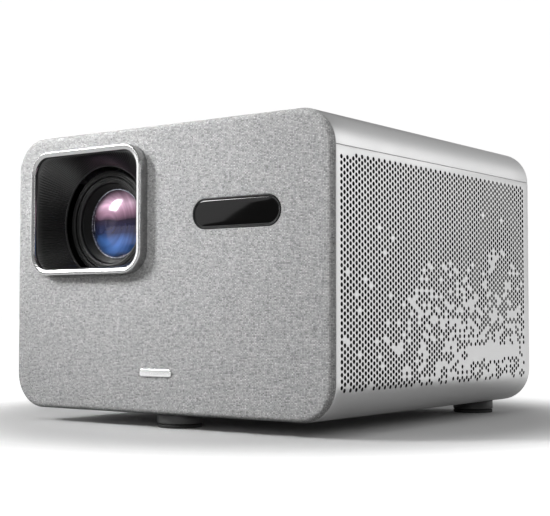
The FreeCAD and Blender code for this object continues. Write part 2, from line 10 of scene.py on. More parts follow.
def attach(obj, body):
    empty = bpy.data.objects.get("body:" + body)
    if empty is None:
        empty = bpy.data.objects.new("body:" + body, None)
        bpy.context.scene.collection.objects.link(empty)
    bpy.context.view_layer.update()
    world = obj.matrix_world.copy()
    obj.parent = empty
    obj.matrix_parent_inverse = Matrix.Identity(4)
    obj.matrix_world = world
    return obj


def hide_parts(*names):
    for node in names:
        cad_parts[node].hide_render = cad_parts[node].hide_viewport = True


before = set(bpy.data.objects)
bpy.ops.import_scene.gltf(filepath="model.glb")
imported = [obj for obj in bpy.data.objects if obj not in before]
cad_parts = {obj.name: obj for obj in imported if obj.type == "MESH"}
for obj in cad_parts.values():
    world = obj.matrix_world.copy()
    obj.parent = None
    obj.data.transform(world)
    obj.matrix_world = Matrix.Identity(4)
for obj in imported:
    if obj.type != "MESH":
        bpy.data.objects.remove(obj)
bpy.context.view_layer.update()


# Working coordinates, in millimetres: X right, Y back from the front cover's
# face, Z up from the table.  The frame's own Y is 122.85 mm less.
Y0 = -122.85
W, H, D, R, GAP = 250.0, 175.3, 252.4, 22.2, 8.6
T = 1.8
SEAM = 162.15
COVER_Y = 3.7
MID = GAP + H / 2
LX, LZ = -58.2, 127.5
BX, BZ = -57.9, 133.55
WX, WZ = 58.25, 127.55
FEET = {"front": (0.0, 19.7), "rear_right": (89.5, 233.9), "rear_left": (-89.5, 233.9)}


# ------------------------------------------------------------- mesh helpers
def build(name, verts, faces, mat, body="cabinet", slot=None, replaces=(), sharp=32.0, uvs=None, recalc=True):
    me = bpy.data.meshes.new(name)
    v = np.array(verts, dtype=float) * 1e-3
    v[:, 1] += Y0 * 1e-3
    me.from_pydata(v.tolist(), [], [tuple(int(i) for i in f) for f in faces])
    me.update()
    if uvs is not None:
        layer = me.uv_layers.new(name="UVMap")
        idx = np.zeros(len(me.loops), dtype=np.int32)
        me.loops.foreach_get("vertex_index", idx)
        layer.data.foreach_set("uv", np.array(uvs, dtype=float)[idx].ravel())
    bm = bmesh.new()
    bm.from_mesh(me)
    if uvs is None:
        bmesh.ops.remove_doubles(bm, verts=bm.verts, dist=2e-6)
    if recalc:
        bmesh.ops.recalc_face_normals(bm, faces=bm.faces)
    bm.to_mesh(me)
    bm.free()
    me.shade_smooth()
    me.set_sharp_from_angle(angle=math.radians(sharp))
    ob = bpy.data.objects.new(name, me)
    bpy.context.scene.collection.objects.link(ob)
    me.materials.append(mat)
    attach(ob, body)
    if replaces:
        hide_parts(*replaces)
    return ob


class Mesh:
    """Vertices and faces of one piece, in working millimetres."""

    def __init__(self):
        self.v, self.f = [], []

    def loops(self, rows, closed_rows=False, close_loop=True, cap=(False, False)):
        """Quads between rows of equal length."""
        base = len(self.v)
        n = len(rows[0])
        for r in rows:
            self.v += [tuple(p) for p in r]
        m = len(rows)
        for i in range(m if closed_rows else m - 1):
            a, b = base + i * n, base + ((i + 1) % m) * n
            for j in range(n if close_loop else n - 1):
                k = (j + 1) % n
                self.f.append((a + j, a + k, b + k, b + j))
        if cap[0]:
            self.f.append(tuple(base + j for j in range(n)))
        if cap[1]:
            self.f.append(tuple(base + (m - 1) * n + j for j in reversed(range(n))))
        return base

    def box(self, x0, x1, y0, y1, z0, z1, b=0.3):
        """Box with chamfered edges."""
        b = min(b, (x1 - x0) / 3, (y1 - y0) / 3, (z1 - z0) / 3)

        def ring(ix, y):
            xs, zs = (x0 + ix, x1 - ix), (z0 + ix, z1 - ix)
            c = b
            return [(xs[0] + c, y, zs[0]), (xs[1] - c, y, zs[0]), (xs[1], y, zs[0] + c), (xs[1], y, zs[1] - c),
                    (xs[1] - c, y, zs[1]), (xs[0] + c, y, zs[1]), (xs[0], y, zs[1] - c), (xs[0], y, zs[0] + c)]
        self.loops([ring(b, y0), ring(0, y0 + b), ring(0, y1 - b), ring(b, y1)], cap=(True, True))

    def make(self, name, mat, **kw):
        return build(name, self.v, self.f, mat, **kw)


def rr(w, h, r, cx=0.0, cz=0.0, na=12, nx=1, nz=1):
    """Rounded rectangle as (x, z) points; equal counts for equal na, nx, nz."""
    r = max(min(r, w / 2, h / 2), 1e-3)
    pts = []

    def line(p, q, n):
        for i in range(1, n):
            t = i / n
            pts.append((p[0] + (q[0] - p[0]) * t, p[1] + (q[1] - p[1]) * t))
    cs = [(cx + w / 2 - r, cz - h / 2 + r, -90), (cx + w / 2 - r, cz + h / 2 - r, 0),
          (cx - w / 2 + r, cz + h / 2 - r, 90), (cx - w / 2 + r, cz - h / 2 + r, 180)]
    ends = []
    for x, z, a0 in cs:
        arc = [(x + r * math.cos(math.radians(a0 + 90 * i / na)), z + r * math.sin(math.radians(a0 + 90 * i / na))) for i in range(na + 1)]
        ends.append(arc)
    for k in range(4):
        pts += ends[k]
        line(ends[k][-1], ends[(k + 1) % 4][0], nz if k % 2 == 0 else nx)
    return pts


def rr_row(w, h, r, cx, cz, y, **kw):
    return [(x, y, z) for x, z in rr(w, h, r, cx, cz, **kw)]


def revolved(m, prof, cx, cz, n=144, closed=True, mod=None):
    """Profile of (radius, y) turned about the Y axis line through (cx, cz)."""
    rows = []
    for r, y in prof:
        row = []
        for i in range(n):
            a = 2 * math.pi * i / n
            q = r if mod is None else mod(r, y, a)
            row.append((cx + q * math.cos(a), y, cz + q * math.sin(a)))
        rows.append(row)
    m.loops(rows, closed_rows=closed)


def revolved_z(m, prof, cx, cy, n=144, mod=None, closed=False, cap=(True, True)):
    rows = []
    for r, z in prof:
        row = []
        for i in range(n):
            a = 2 * math.pi * i / n
            q = r if mod is None else mod(r, z, a)
            row.append((cx + q * math.cos(a), cy + q * math.sin(a), z))
        rows.append(row)
    m.loops(rows, closed_rows=closed, cap=(False, False) if closed else cap)


# --------------------------------------------------------- material helpers
class Mat:
    def __init__(self, name, rough=0.5, metal=0.0, color=(0.5, 0.5, 0.5), spec=0.5):
        self.m = bpy.data.materials.new(name)
        self.m.use_nodes = True
        self.t = self.m.node_tree
        self.b = self.t.nodes["Principled BSDF"]
        self.b.inputs["Roughness"].default_value = rough
        self.b.inputs["Metallic"].default_value = metal
        self.b.inputs["Base Color"].default_value = (*color, 1)
        self.b.inputs["Specular IOR Level"].default_value = spec
        self.co = None

    def coord(self, kind="Object"):
        if self.co is None:
            self.co = self.t.nodes.new("ShaderNodeTexCoord")
        return self.co.outputs[kind]

    def node(self, kind, ins=None, **props):
        nd = self.t.nodes.new(kind)
        for k, v in props.items():
            setattr(nd, k, v)
        for k, v in (ins or {}).items():
            s = nd.inputs[k]
            if isinstance(v, bpy.types.NodeSocket):
                self.t.links.new(v, s)
            else:
                s.default_value = v
        return nd

    def math(self, op, a, b=None, c=None):
        nd = self.t.nodes.new("ShaderNodeMath")
        nd.operation = op
        for i, v in enumerate((a, b, c)):
            if v is None:
                continue
            if isinstance(v, bpy.types.NodeSocket):
                self.t.links.new(v, nd.inputs[i])
            else:
                nd.inputs[i].default_value = v
        return nd.outputs[0]

    def noise(self, scale, detail=2.0, rough=0.5, vec=None, dist=0.0):
        nd = self.node("ShaderNodeTexNoise", {"Vector": vec if vec is not None else self.coord(), "Scale": scale, "Detail": detail,
                                              "Roughness": rough, "Distortion": dist})
        return nd.outputs["Fac"]

    def scaled(self, sx, sy, sz, vec=None):
        nd = self.node("ShaderNodeMapping", {"Vector": vec if vec is not None else self.coord(), "Scale": (sx, sy, sz)})
        return nd.outputs["Vector"]

    def ramp(self, fac, stops):
        nd = self.node("ShaderNodeValToRGB", {"Fac": fac})
        cr = nd.color_ramp
        while len(cr.elements) < len(stops):
            cr.elements.new(0.5)
        for e, (p, c) in zip(cr.elements, stops):
            e.position = p
            e.color = (*c, 1) if len(c) == 3 else c
        return nd.outputs["Color"]

    def map(self, fac, a, b, lo=0.0, hi=1.0):
        nd = self.node("ShaderNodeMapRange", {"Value": fac, "From Min": lo, "From Max": hi, "To Min": a, "To Max": b})
        return nd.outputs["Result"]

    def link(self, out, name):
        self.t.links.new(out, self.b.inputs[name])

    def bump(self, height, dist, strength=1.0, prev=None):
        ins = {"Height": height, "Distance": dist, "Strength": strength}
        if prev is not None:
            ins["Normal"] = prev
        nd = self.node("ShaderNodeBump", ins)
        self.t.links.new(nd.outputs["Normal"], self.b.inputs["Normal"])
        return nd.outputs["Normal"]


def g(v):
    return (v, v, v)


def moulded(name, dark, light, rough=0.45, grain=900.0, depth=0.00004, spec=0.5, tint=(1, 1, 1)):
    """Injection-moulded plastic: fine spark-eroded grain and faint uneven gloss."""
    m = Mat(name, rough, 0.0, g((dark + light) / 2), spec)
    n1 = m.noise(grain, 3.0, 0.6)
    n2 = m.noise(18.0, 4.0, 0.55)
    mix = m.math("ADD", m.math("MULTIPLY", n1, 0.45), m.math("MULTIPLY", n2, 0.55))
    c = [tuple(x * t for t in tint) for x in (dark, light)]
    m.link(m.ramp(mix, [(0.32, c[0]), (0.68, c[1])]), "Base Color")
    m.link(m.map(n2, rough - 0.07, rough + 0.08, 0.3, 0.7), "Roughness")
    m.bump(n1, depth)
    return m.m


def plated(name, color, rough=0.3, axis=(1, 1, 1), fine=0.00001, metal=1.0):
    """Plated or extruded metal with drawing marks and slight discolouration."""
    m = Mat(name, rough, metal, color)
    v = m.scaled(*axis)
    n1 = m.noise(1400.0, 3.0, 0.6, vec=v)
    n2 = m.noise(30.0, 4.0, 0.6)
    d = tuple(x * 0.82 for x in color)
    u = tuple(min(1.0, x * 1.08) for x in color)
    m.link(m.ramp(m.math("ADD", m.math("MULTIPLY", n1, 0.5), m.math("MULTIPLY", n2, 0.5)), [(0.3, d), (0.7, u)]), "Base Color")
    m.link(m.map(n1, rough - 0.08, rough + 0.12, 0.3, 0.7), "Roughness")
    m.bump(n1, fine)
    return m.m


# ------------------------------------------------------------ the materials
def fabric_material():
    """Melange plain weave: light and dark yarns, each slubby along its length,
    over and under one another.  The weft floats are longer than the warp's."""
    m = Mat("woven_melange", 0.92, 0.0, g(0.5), 0.25)
    uv = m.coord("UV")
    sep = m.node("ShaderNodeSeparateXYZ", {"Vector": uv})
    u, v = sep.outputs["X"], sep.outputs["Y"]
    wob = m.math("MULTIPLY", m.math("SUBTRACT", m.noise(80.0, 2.0, 0.5, vec=uv), 0.5), 0.0014)
    us = m.math("DIVIDE", m.math("ADD", u, wob), 0.00105)
    vs = m.math("DIVIDE", m.math("SUBTRACT", v, wob), 0.00082)
    iu, iv = m.math("FLOOR", us), m.math("FLOOR", vs)
    fu, fv = m.math("SUBTRACT", us, iu), m.math("SUBTRACT", vs, iv)
    # 1 where the upright yarn is on top
    par = m.math("FLOORED_MODULO", m.math("ADD", iu, iv), 2.0)
    su = m.math("SINE", m.math("MULTIPLY", fu, math.pi))
    sv = m.math("SINE", m.math("MULTIPLY", fv, math.pi))
    h_up = m.math("MULTIPLY", m.math("POWER", su, 0.7), m.math("ADD", 0.35, m.math("MULTIPLY", sv, 0.50)))
    h_ac = m.math("MULTIPLY", m.math("POWER", sv, 0.7), m.math("ADD", 0.60, m.math("MULTIPLY", su, 0.40)))
    hgt = m.node("ShaderNodeMix", {"Factor": par}, data_type="FLOAT")
    m.t.links.new(h_ac, hgt.inputs["A"])
    m.t.links.new(h_up, hgt.inputs["B"])
    height = hgt.outputs["Result"]

    def yarn(index, along, seed, fine):
        vec = m.node("ShaderNodeCombineXYZ", {"X": m.math("MULTIPLY", index, 17.31), "Y": m.math("MULTIPLY", along, fine), "Z": seed})
        a = m.noise(1.0, 2.0, 0.6, vec=vec.outputs["Vector"])
        vec2 = m.node("ShaderNodeCombineXYZ", {"X": m.math("MULTIPLY", index, 5.77), "Y": m.math("MULTIPLY", along, 70.0), "Z": seed + 9.0})
        b = m.noise(1.0, 1.0, 0.5, vec=vec2.outputs["Vector"])
        return m.math("ADD", m.math("MULTIPLY", a, 0.80), m.math("MULTIPLY", b, 0.20))
    tone = m.node("ShaderNodeMix", {"Factor": par}, data_type="FLOAT")
    weft = yarn(iv, u, 3.0, 340.0)
    m.t.links.new(weft, tone.inputs["A"])
    m.t.links.new(m.math("ADD", m.math("MULTIPLY", weft, 0.2), m.math("MULTIPLY", yarn(iu, v, 21.0, 650.0), 0.8)), tone.inputs["B"])
    fib = m.noise(5200.0, 2.0, 0.7, vec=uv)
    t = m.math("ADD", tone.outputs["Result"], m.math("MULTIPLY", m.math("SUBTRACT", fib, 0.5), 0.25))
    col = m.ramp(t, [(0.34, g(0.23)), (0.46, g(0.41)), (0.56, g(0.56)), (0.70, g(0.76))])
    # painted shade: the weave is darker where each yarn dips under its neighbour
    shade = m.math("ADD", 0.55, m.math("MULTIPLY", height, 0.52))
    mul = m.node("ShaderNodeMix", {"Factor": 1.0}, data_type="RGBA", blend_type="MULTIPLY")
    m.t.links.new(col, mul.inputs["A"])
    m.t.links.new(shade, mul.inputs["B"])
    m.link(mul.outputs["Result"], "Base Color")
    hh = m.math("ADD", height, m.math("MULTIPLY", fib, 0.25))
    m.bump(hh, 0.00025, 0.8)
    m.b.inputs["Sheen Weight"].default_value = 0.2
    m.b.inputs["Sheen Roughness"].default_value = 0.6
    return m.m


def satin_metal(name, base=0.74, rough=0.36, metal=0.75):
    """Bead-blasted, silver-lacquered sheet: a very fine sparkle and slight
    orange-peel, with roughness that varies a little at random."""
    m = Mat(name, rough, metal, g(base))
    n1 = m.noise(3200.0, 2.0, 0.7)
    n2 = m.noise(55.0, 3.0, 0.5)
    n3 = m.noise(9.0, 2.0, 0.5)
    mix = m.math("ADD", m.math("MULTIPLY", n1, 0.6), m.math("MULTIPLY", n3, 0.4))
    m.link(m.ramp(mix, [(0.30, g(base * 0.93)), (0.70, g(min(1, base * 1.04)))]), "Base Color")
    m.link(m.map(n2, rough - 0.025, rough + 0.03, 0.3, 0.7), "Roughness")
    m.bump(n1, 0.000006, 0.6)
    return m.m


M_FABRIC = fabric_material()
M_SATIN = satin_metal("satin_silver", 0.67)
M_BEZEL = satin_metal("bezel_silver", 0.39, 0.25, 0.95)
M_BADGE = satin_metal("badge_silver", 0.78, 0.22, 0.9)
M_HOOD = moulded("hood_black", 0.008, 0.014, 0.34, 1500.0, 0.00001, 0.6)
M_LIP = moulded("hood_lip", 0.030, 0.045, 0.30, 1500.0, 0.00001)
M_LENSBLACK = moulded("barrel_black", 0.005, 0.009, 0.46, 2400.0, 0.00001, 0.28)
# painted shade: near-black colour for the walls inside the perforations
M_HOLE_SHADE = moulded("hole_wall_painted_shade", 0.006, 0.012, 0.7, 1500.0, 0.00002, 0.2)
M_TRIM = moulded("trim_black", 0.003, 0.006, 0.42, 1800.0, 0.00001, 0.18)
M_FOOT = moulded("foot_grey", 0.05, 0.085, 0.5, 1200.0, 0.00004)
M_REAR = moulded("rear_texture", 0.035, 0.055, 0.55, 700.0, 0.00006)
M_CARRIER = moulded("carrier_plastic", 0.03, 0.05, 0.5, 800.0, 0.00005)
M_SOCKET = moulded("socket_plastic", 0.012, 0.022, 0.45, 1500.0, 0.00002)
M_FAN = moulded("fan_plastic", 0.014, 0.026, 0.4, 1100.0, 0.00002)
M_SPEAKER = moulded("speaker_plastic", 0.02, 0.035, 0.6, 900.0, 0.00003)
M_KEY = moulded("key_plastic", 0.07, 0.10, 0.42, 1600.0, 0.00002)
M_GEAR = moulded("acetal", 0.62, 0.78, 0.35, 1400.0, 0.00001)
M_ZINC = plated("zinc_plate", (0.62, 0.63, 0.64), 0.33)
M_NICKEL = plated("nickel_plate", (0.66, 0.64, 0.60), 0.25)
M_BRASS = plated("turned_brass", (0.78, 0.58, 0.27), 0.28, (0.4, 0.4, 3.0))
M_COPPER = plated("copper_tube", (0.80, 0.40, 0.24), 0.27, (2.0, 0.2, 2.0))
M_ALU = plated("extruded_alu", (0.74, 0.75, 0.76), 0.36, (0.2, 2.0, 2.0))
M_ENGINE = plated("cast_magnesium", (0.22, 0.22, 0.23), 0.55, (0.3, 0.3, 0.3), 0.00005, 0.6)
M_RINGSILVER = plated("turned_ring", (0.50, 0.51, 0.58), 0.22, (2.0, 0.3, 2.0))


def rubber_material():
    m = Mat("foot_rubber", 0.78, 0.0, g(0.02), 0.3)
    n = m.noise(1300.0, 4.0, 0.7)
    n2 = m.noise(60.0, 3.0, 0.6)
    m.link(m.ramp(m.math("ADD", m.math("MULTIPLY", n, 0.5), m.math("MULTIPLY", n2, 0.5)), [(0.3, g(0.014)), (0.7, g(0.036))]), "Base Color")
    m.bump(n, 0.00005)
    return m.m


def powder_coat():
    m = Mat("powder_coat", 0.55, 0.2, g(0.2))
    n = m.noise(650.0, 3.0, 0.6)
    n2 = m.noise(20.0, 3.0, 0.6)
    m.link(m.ramp(n2, [(0.3, g(0.17)), (0.7, g(0.23))]), "Base Color")
    m.link(m.map(n, 0.48, 0.64, 0.3, 0.7), "Roughness")
    m.bump(n, 0.00008)
    return m.m


def board_material():
    """Green solder mask over copper tracks, with tinned pads."""
    m = Mat("circuit_board", 0.32, 0.0, (0.02, 0.14, 0.07))
    v = m.scaled(1, 1, 1)
    vor = m.node("ShaderNodeTexVoronoi", {"Vector": v, "Scale": 260.0}, distance="MANHATTAN", feature="F1")
    br = m.node("ShaderNodeTexBrick", {"Vector": m.scaled(1, 1, 1), "Scale": 180.0, "Mortar Size": 0.03, "Color1": (0.015, 0.12, 0.06, 1),
                                      "Color2": (0.03, 0.17, 0.08, 1), "Mortar": (0.06, 0.26, 0.12, 1)})
    pads = m.math("LESS_THAN", vor.outputs["Distance"], 0.12)
    mix = m.node("ShaderNodeMix", {"Factor": pads}, data_type="RGBA")
    m.t.links.new(br.outputs["Color"], mix.inputs["A"])
    mix.inputs["B"].default_value = (0.7, 0.68, 0.6, 1)
    m.link(mix.outputs["Result"], "Base Color")
    m.link(m.map(pads, 0.0, 0.9), "Metallic")
    m.bump(m.math("ADD", br.outputs["Fac"], pads), 0.00004)
    return m.m


def filter_material():
    """Fine black filter gauze."""
    m = Mat("filter_gauze", 0.9, 0.0, g(0.006), 0.2)
    sep = m.node("ShaderNodeSeparateXYZ", {"Vector": m.coord()})
    a = m.math("ABSOLUTE", m.math("SINE", m.math("MULTIPLY", sep.outputs["Y"], math.pi / 0.0006)))
    b = m.math("ABSOLUTE", m.math("SINE", m.math("MULTIPLY", sep.outputs["Z"], math.pi / 0.0006)))
    k = m.math("MAXIMUM", a, b)
    m.link(m.ramp(k, [(0.4, g(0.002)), (0.95, g(0.010))]), "Base Color")
    m.bump(k, 0.0001)
    return m.m


def window_material():
    """Smoked acrylic, polished, with the faintest flow mark."""
    m = Mat("smoked_window", 0.045, 0.0, g(0.0015), 0.5)
    n = m.noise(25.0, 2.0, 0.5)
    m.link(m.ramp(n, [(0.3, g(0.0008)), (0.7, g(0.0018))]), "Base Color")
    m.link(m.map(n, 0.035, 0.055, 0.3, 0.7), "Roughness")
    m.b.inputs["Coat Weight"].default_value = 0.3
    m.b.inputs["Coat Roughness"].default_value = 0.02
    return m.m


def flex_material():
    m = Mat("flex_circuit", 0.35, 0.0, (0.4, 0.18, 0.04))
    sep = m.node("ShaderNodeSeparateXYZ", {"Vector": m.coord()})
    a = m.math("ABSOLUTE", m.math("SINE", m.math("MULTIPLY", sep.outputs["X"], math.pi / 0.001)))
    m.link(m.ramp(a, [(0.45, (0.30, 0.12, 0.02)), (0.6, (0.62, 0.33, 0.10))]), "Base Color")
    m.bump(a, 0.00003)
    return m.m


M_RUBBER = rubber_material()
M_POWDER = powder_coat()
M_BOARD = board_material()
M_FILTER = filter_material()
M_WINDOW = window_material()
M_FLEX = flex_material()


def glass_material(name, tint, film, rough=0.02):
    """Coated lens glass: clear, with a coloured reflection from its coating
    that shifts over the surface as the coating's thickness does."""
    m = Mat(name, rough, 0.0, tint)
    m.b.inputs["IOR"].default_value = 1.52
    m.b.inputs["Transmission Weight"].default_value = 1.0
    sep = m.node("ShaderNodeSeparateXYZ", {"Vector": m.coord()})
    z = m.map(sep.outputs["Z"], 0.0, 1.0, (LZ - 22.0) * 1e-3, (LZ + 22.0) * 1e-3)
    n = m.noise(45.0, 2.0, 0.5)
    zz = m.math("ADD", z, m.math("MULTIPLY", m.math("SUBTRACT", n, 0.5), 0.06))
    m.link(m.ramp(zz, film), "Specular Tint")
    m.link(m.map(n, rough * 0.6, rough * 1.5, 0.3, 0.7), "Roughness")
    return m


def dome_painted_reflection_material():
    """Front glass with its purple coating, whose reflections are painted into the colour: a painted pinkish reflection
    above with a brighter painted highlight zone, nearly black across the middle, a painted blue reflection below, faint
    painted streaks of reflected inner barrel, and painted shade towards the rim."""
    m = Mat("front_glass_painted_reflection", 0.03, 0.0, g(0.1))
    m.b.inputs["IOR"].default_value = 1.52
    m.b.inputs["Transmission Weight"].default_value = 0.30
    m.b.inputs["Specular Tint"].default_value = (1.0, 0.86, 0.95, 1)
    sep = m.node("ShaderNodeSeparateXYZ", {"Vector": m.coord()})
    x, z = sep.outputs["X"], sep.outputs["Z"]
    dx = m.math("SUBTRACT", x, LX * 1e-3)
    dz = m.math("SUBTRACT", z, LZ * 1e-3)
    r = m.math("SQRT", m.math("ADD", m.math("MULTIPLY", dx, dx), m.math("MULTIPLY", dz, dz)))
    n = m.noise(60.0, 2.0, 0.5)
    arc = m.node("ShaderNodeCombineXYZ", {"X": m.math("ADD", m.math("MULTIPLY", r, 330.0), m.math("MULTIPLY", dx, 190.0)), "Y": 0.0, "Z": m.math("MULTIPLY", dz, 30.0)})
    reflection_streaks = m.noise(1.0, 2.0, 0.5, vec=arc.outputs["Vector"])
    h = m.math("ADD", m.map(dz, 0.0, 1.0, -0.0224, 0.0224), m.math("MULTIPLY", m.math("SUBTRACT", n, 0.5), 0.10))
    # painted reflections: pink above with a bright painted highlight zone, dark across the middle, blue below
    col = m.ramp(h, [(0.03, (0.03, 0.07, 0.20)), (0.10, (0.12, 0.30, 0.80)), (0.25, (0.08, 0.20, 0.56)), (0.35, (0.03, 0.045, 0.12)), (0.54, (0.035, 0.025, 0.045)),
                     (0.66, (0.42, 0.24, 0.34)), (0.78, (1.0, 0.66, 0.86)), (0.97, (0.55, 0.34, 0.47))])
    # painted reflection streaks, and painted shade that dims the colour towards the rim
    k = m.math("MULTIPLY", m.map(reflection_streaks, 0.72, 1.28, 0.3, 0.7), m.map(r, 1.0, 0.30, 0.0145, 0.0220))
    mul = m.node("ShaderNodeMix", {"Factor": 1.0}, data_type="RGBA", blend_type="MULTIPLY")
    m.t.links.new(col, mul.inputs["A"])
    m.t.links.new(k, mul.inputs["B"])
    m.link(mul.outputs["Result"], "Base Color")
    m.link(m.map(n, 0.09, 0.12, 0.3, 0.7), "Roughness")
    return m.m


# --------------------------------------------------- materials of CAD nodes
def assign(node, mat):
    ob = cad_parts[node]
    if not ob.material_slots:
        ob.data.materials.append(mat)
    for s in ob.material_slots:
        s.material = mat


def node_material(n):
    if n in ("rear_brackets", "chassis_shelf", "chassis_posts", "case_screws"):
        return M_ZINC
    if n == "foot_inserts":
        return M_BRASS
    if n == "base_plate":
        return M_POWDER
    if n == "rear_panel":
        return M_REAR
    if n in ("led_modules", "sensor_modules", "audio_jack", "power_inlet"):
        return M_SOCKET
    if n in ("hdmi_ports", "usb_port", "focus_motor"):
        return M_NICKEL
    if n in ("light_engine_housing", "light_engine_lid"):
        return M_ENGINE
    if n == "heat_pipes":
        return M_COPPER
    if n in ("led_heatsink", "dmd_heatsink"):
        return M_ALU
    if n.endswith("_board"):
        return M_BOARD
    if "fan" in n:
        return M_FAN
    if n.startswith("speaker"):
        return M_SPEAKER
    if n.endswith("_button"):
        return M_KEY
    if n == "video_flex_cable":
        return M_FLEX
    if n == "side_filters":
        return M_FILTER
    if n == "focus_pinion":
        return M_GEAR
    if n in ("lens_barrel", "focus_ring", "front_lens_cell"):
        return M_LENSBLACK
    return M_CARRIER


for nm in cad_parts:
    assign(nm, node_material(nm))
G_INNER = glass_material("inner_glass", g(0.98), [(0.0, (0.25, 0.45, 1.0)), (0.5, (0.45, 0.35, 0.9)), (1.0, (1.0, 0.45, 0.8))]).m
for nm in ("inner_lens_glass", "rear_lens_glass"):
    assign(nm, G_INNER)


# ------------------------------------------------------------ woven front
def tri_fill(points, rings, keep, extra=()):
    """Triangles of a flat region.  points are (u, v); rings are closed runs of
    point indices; keep(u, v) says whether a triangle's centre is inside."""
    es = []
    for ring in rings:
        es += [(ring[i], ring[(i + 1) % len(ring)]) for i in range(len(ring))]
    vs = [Vector(p) for p in points] + [Vector(p) for p in extra]
    out = delaunay_2d_cdt(vs, es, [], 0, 1e-7, True)
    ov, faces, orig = out[0], out[2], out[3]
    back = {}
    for i, o in enumerate(orig):
        if o:
            back[i] = min(o)
    pts = [(p[0], p[1]) for p in vs]
    new = {}
    for i in range(len(ov)):
        if i not in back:
            new[i] = len(pts)
            pts.append((ov[i][0], ov[i][1]))
    tris = []
    for f in faces:
        ids = [back[i] if i in back else new[i] for i in f]
        cu = sum(pts[i][0] for i in ids) / len(ids)
        cv = sum(pts[i][1] for i in ids) / len(ids)
        if keep(cu, cv):
            tris.append(tuple(ids))
    return pts, tris


def in_rr(x, z, w, h, r, cx, cz):
    r = min(r, w / 2, h / 2)
    qx, qz = abs(x - cx) - (w / 2 - r), abs(z - cz) - (h / 2 - r)
    return math.hypot(max(qx, 0), max(qz, 0)) + min(max(qx, qz), 0) - r < 0


def woven_front():
    er = 3.3
    out = rr(W - 2 * er, H - 2 * er, R - er, 0, MID, na=20, nx=50, nz=36)
    bz = rr(93.6, 77.2, 14.0, BX, BZ, na=14, nx=16, nz=14)
    wn = rr(65.6, 19.3, 9.65, WX, WZ, na=18, nx=12, nz=1)
    pts = out + bz + wn
    rings = [list(range(len(out))), list(range(len(out), len(out) + len(bz))), list(range(len(out) + len(bz), len(pts)))]
    extra = []
    rng = np.random.default_rng(5)
    for i in range(-29, 30):
        for j in range(-20, 21):
            x, z = i * 4.1 + rng.uniform(-0.8, 0.8), MID + j * 4.1 + rng.uniform(-0.8, 0.8)
            if in_rr(x, z, W - 2 * er - 3, H - 2 * er - 3, R - er, 0, MID) and not in_rr(x, z, 96.6, 80.2, 15, BX, BZ) \
                    and not in_rr(x, z, 68.6, 22.3, 11.1, WX, WZ):
                extra.append((x, z))

    def keep(x, z):
        return (in_rr(x, z, W - 2 * er, H - 2 * er, R - er, 0, MID) and not in_rr(x, z, 93.6, 77.2, 14.0, BX, BZ)
                and not in_rr(x, z, 65.6, 19.3, 9.65, WX, WZ))
    flat, tris = tri_fill(pts, rings, keep, extra)
    v = [(x, 0.0, z) for x, z in flat]
    uv = [(x * 1e-3, z * 1e-3) for x, z in flat]
    f = list(tris)

    def skirt(start, ring2d, rows):
        """rows: (outline points, y, arc distance outwards)."""
        prev = start
        for outline, y, far in rows:
            base = len(v)
            for k, (x, z) in enumerate(outline):
                v.append((x, y, z))
                x0, z0 = ring2d[k]
                dx, dz = x - x0, z - z0
                d = math.hypot(dx, dz)
                if d < 1e-6:
                    uv.append((x0 * 1e-3, z0 * 1e-3))
                else:
                    uv.append(((x0 + dx / d * far) * 1e-3, (z0 + dz / d * far) * 1e-3))
            n = len(outline)
            cur = list(range(base, base + n))
            for k in range(n):
                q = (k + 1) % n
                f.append((prev[k], prev[q], cur[q], cur[k]))
            prev = cur

    rows = []
    for i in range(1, 9):
        a = math.radians(90 * i / 8)
        s = er * math.sin(a)
        rows.append((rr(W - 2 * er + 2 * s, H - 2 * er + 2 * s, R - er + s, 0, MID, na=20, nx=50, nz=36), er * (1 - math.cos(a)), er * a))
    rows.append((rr(W - 0.5, H - 0.5, R - 0.25, 0, MID, na=20, nx=50, nz=36), er + 0.2, er * 1.571 + 0.3))
    rows.append((rr(W - 2.4, H - 2.4, R - 1.2, 0, MID, na=20, nx=50, nz=36), er + 0.22, er * 1.571 + 1.2))
    skirt(rings[0], out, rows)
    for ring, o2, w, h, r, cx, cz, na, nx, nz in ((rings[1], bz, 93.6, 77.2, 14.0, BX, BZ, 14, 16, 14), (rings[2], wn, 65.6, 19.3, 9.65, WX, WZ, 18, 12, 1)):
        rows = []
        for i in range(1, 5):
            a = math.radians(90 * i / 4)
            s = 0.5 * math.sin(a)
            rows.append((rr(w - 2 * s, h - 2 * s, r - s, cx, cz, na=na, nx=nx, nz=nz), 0.5 * (1 - math.cos(a)), 0.5 * a))
        rows.append((rr(w - 1.0, h - 1.0, r - 0.5, cx, cz, na=na, nx=nx, nz=nz), 1.3, 1.6))
        skirt(ring, o2, rows)
    # where the outline and its moved copy coincide the yarn runs straight on
    ob = build("woven_front", v, f, M_FABRIC, slot="cover_fabric", replaces=("front_fabric",), uvs=uv, sharp=60)
    # the normals of an open sheet: towards the front
    me = ob.data
    if me.polygons[0].normal.y > 0:
        me.flip_normals()
    return ob


woven_front()


# -------------------------------------------------------- perforated sides
HP, CP, NC = 3.54, 3.066, 77


def hsh(i, j, s):
    n = (i * 374761393 + j * 668265263 + s * 2147483647) & 0xFFFFFFFF
    n = ((n ^ (n >> 13)) * 1274126177) & 0xFFFFFFFF
    return ((n ^ (n >> 16)) & 0xFFFF) / 65535.0


def sm(x):
    x = max(0.0, min(1.0, x))
    return x * x * (3 - 2 * x)


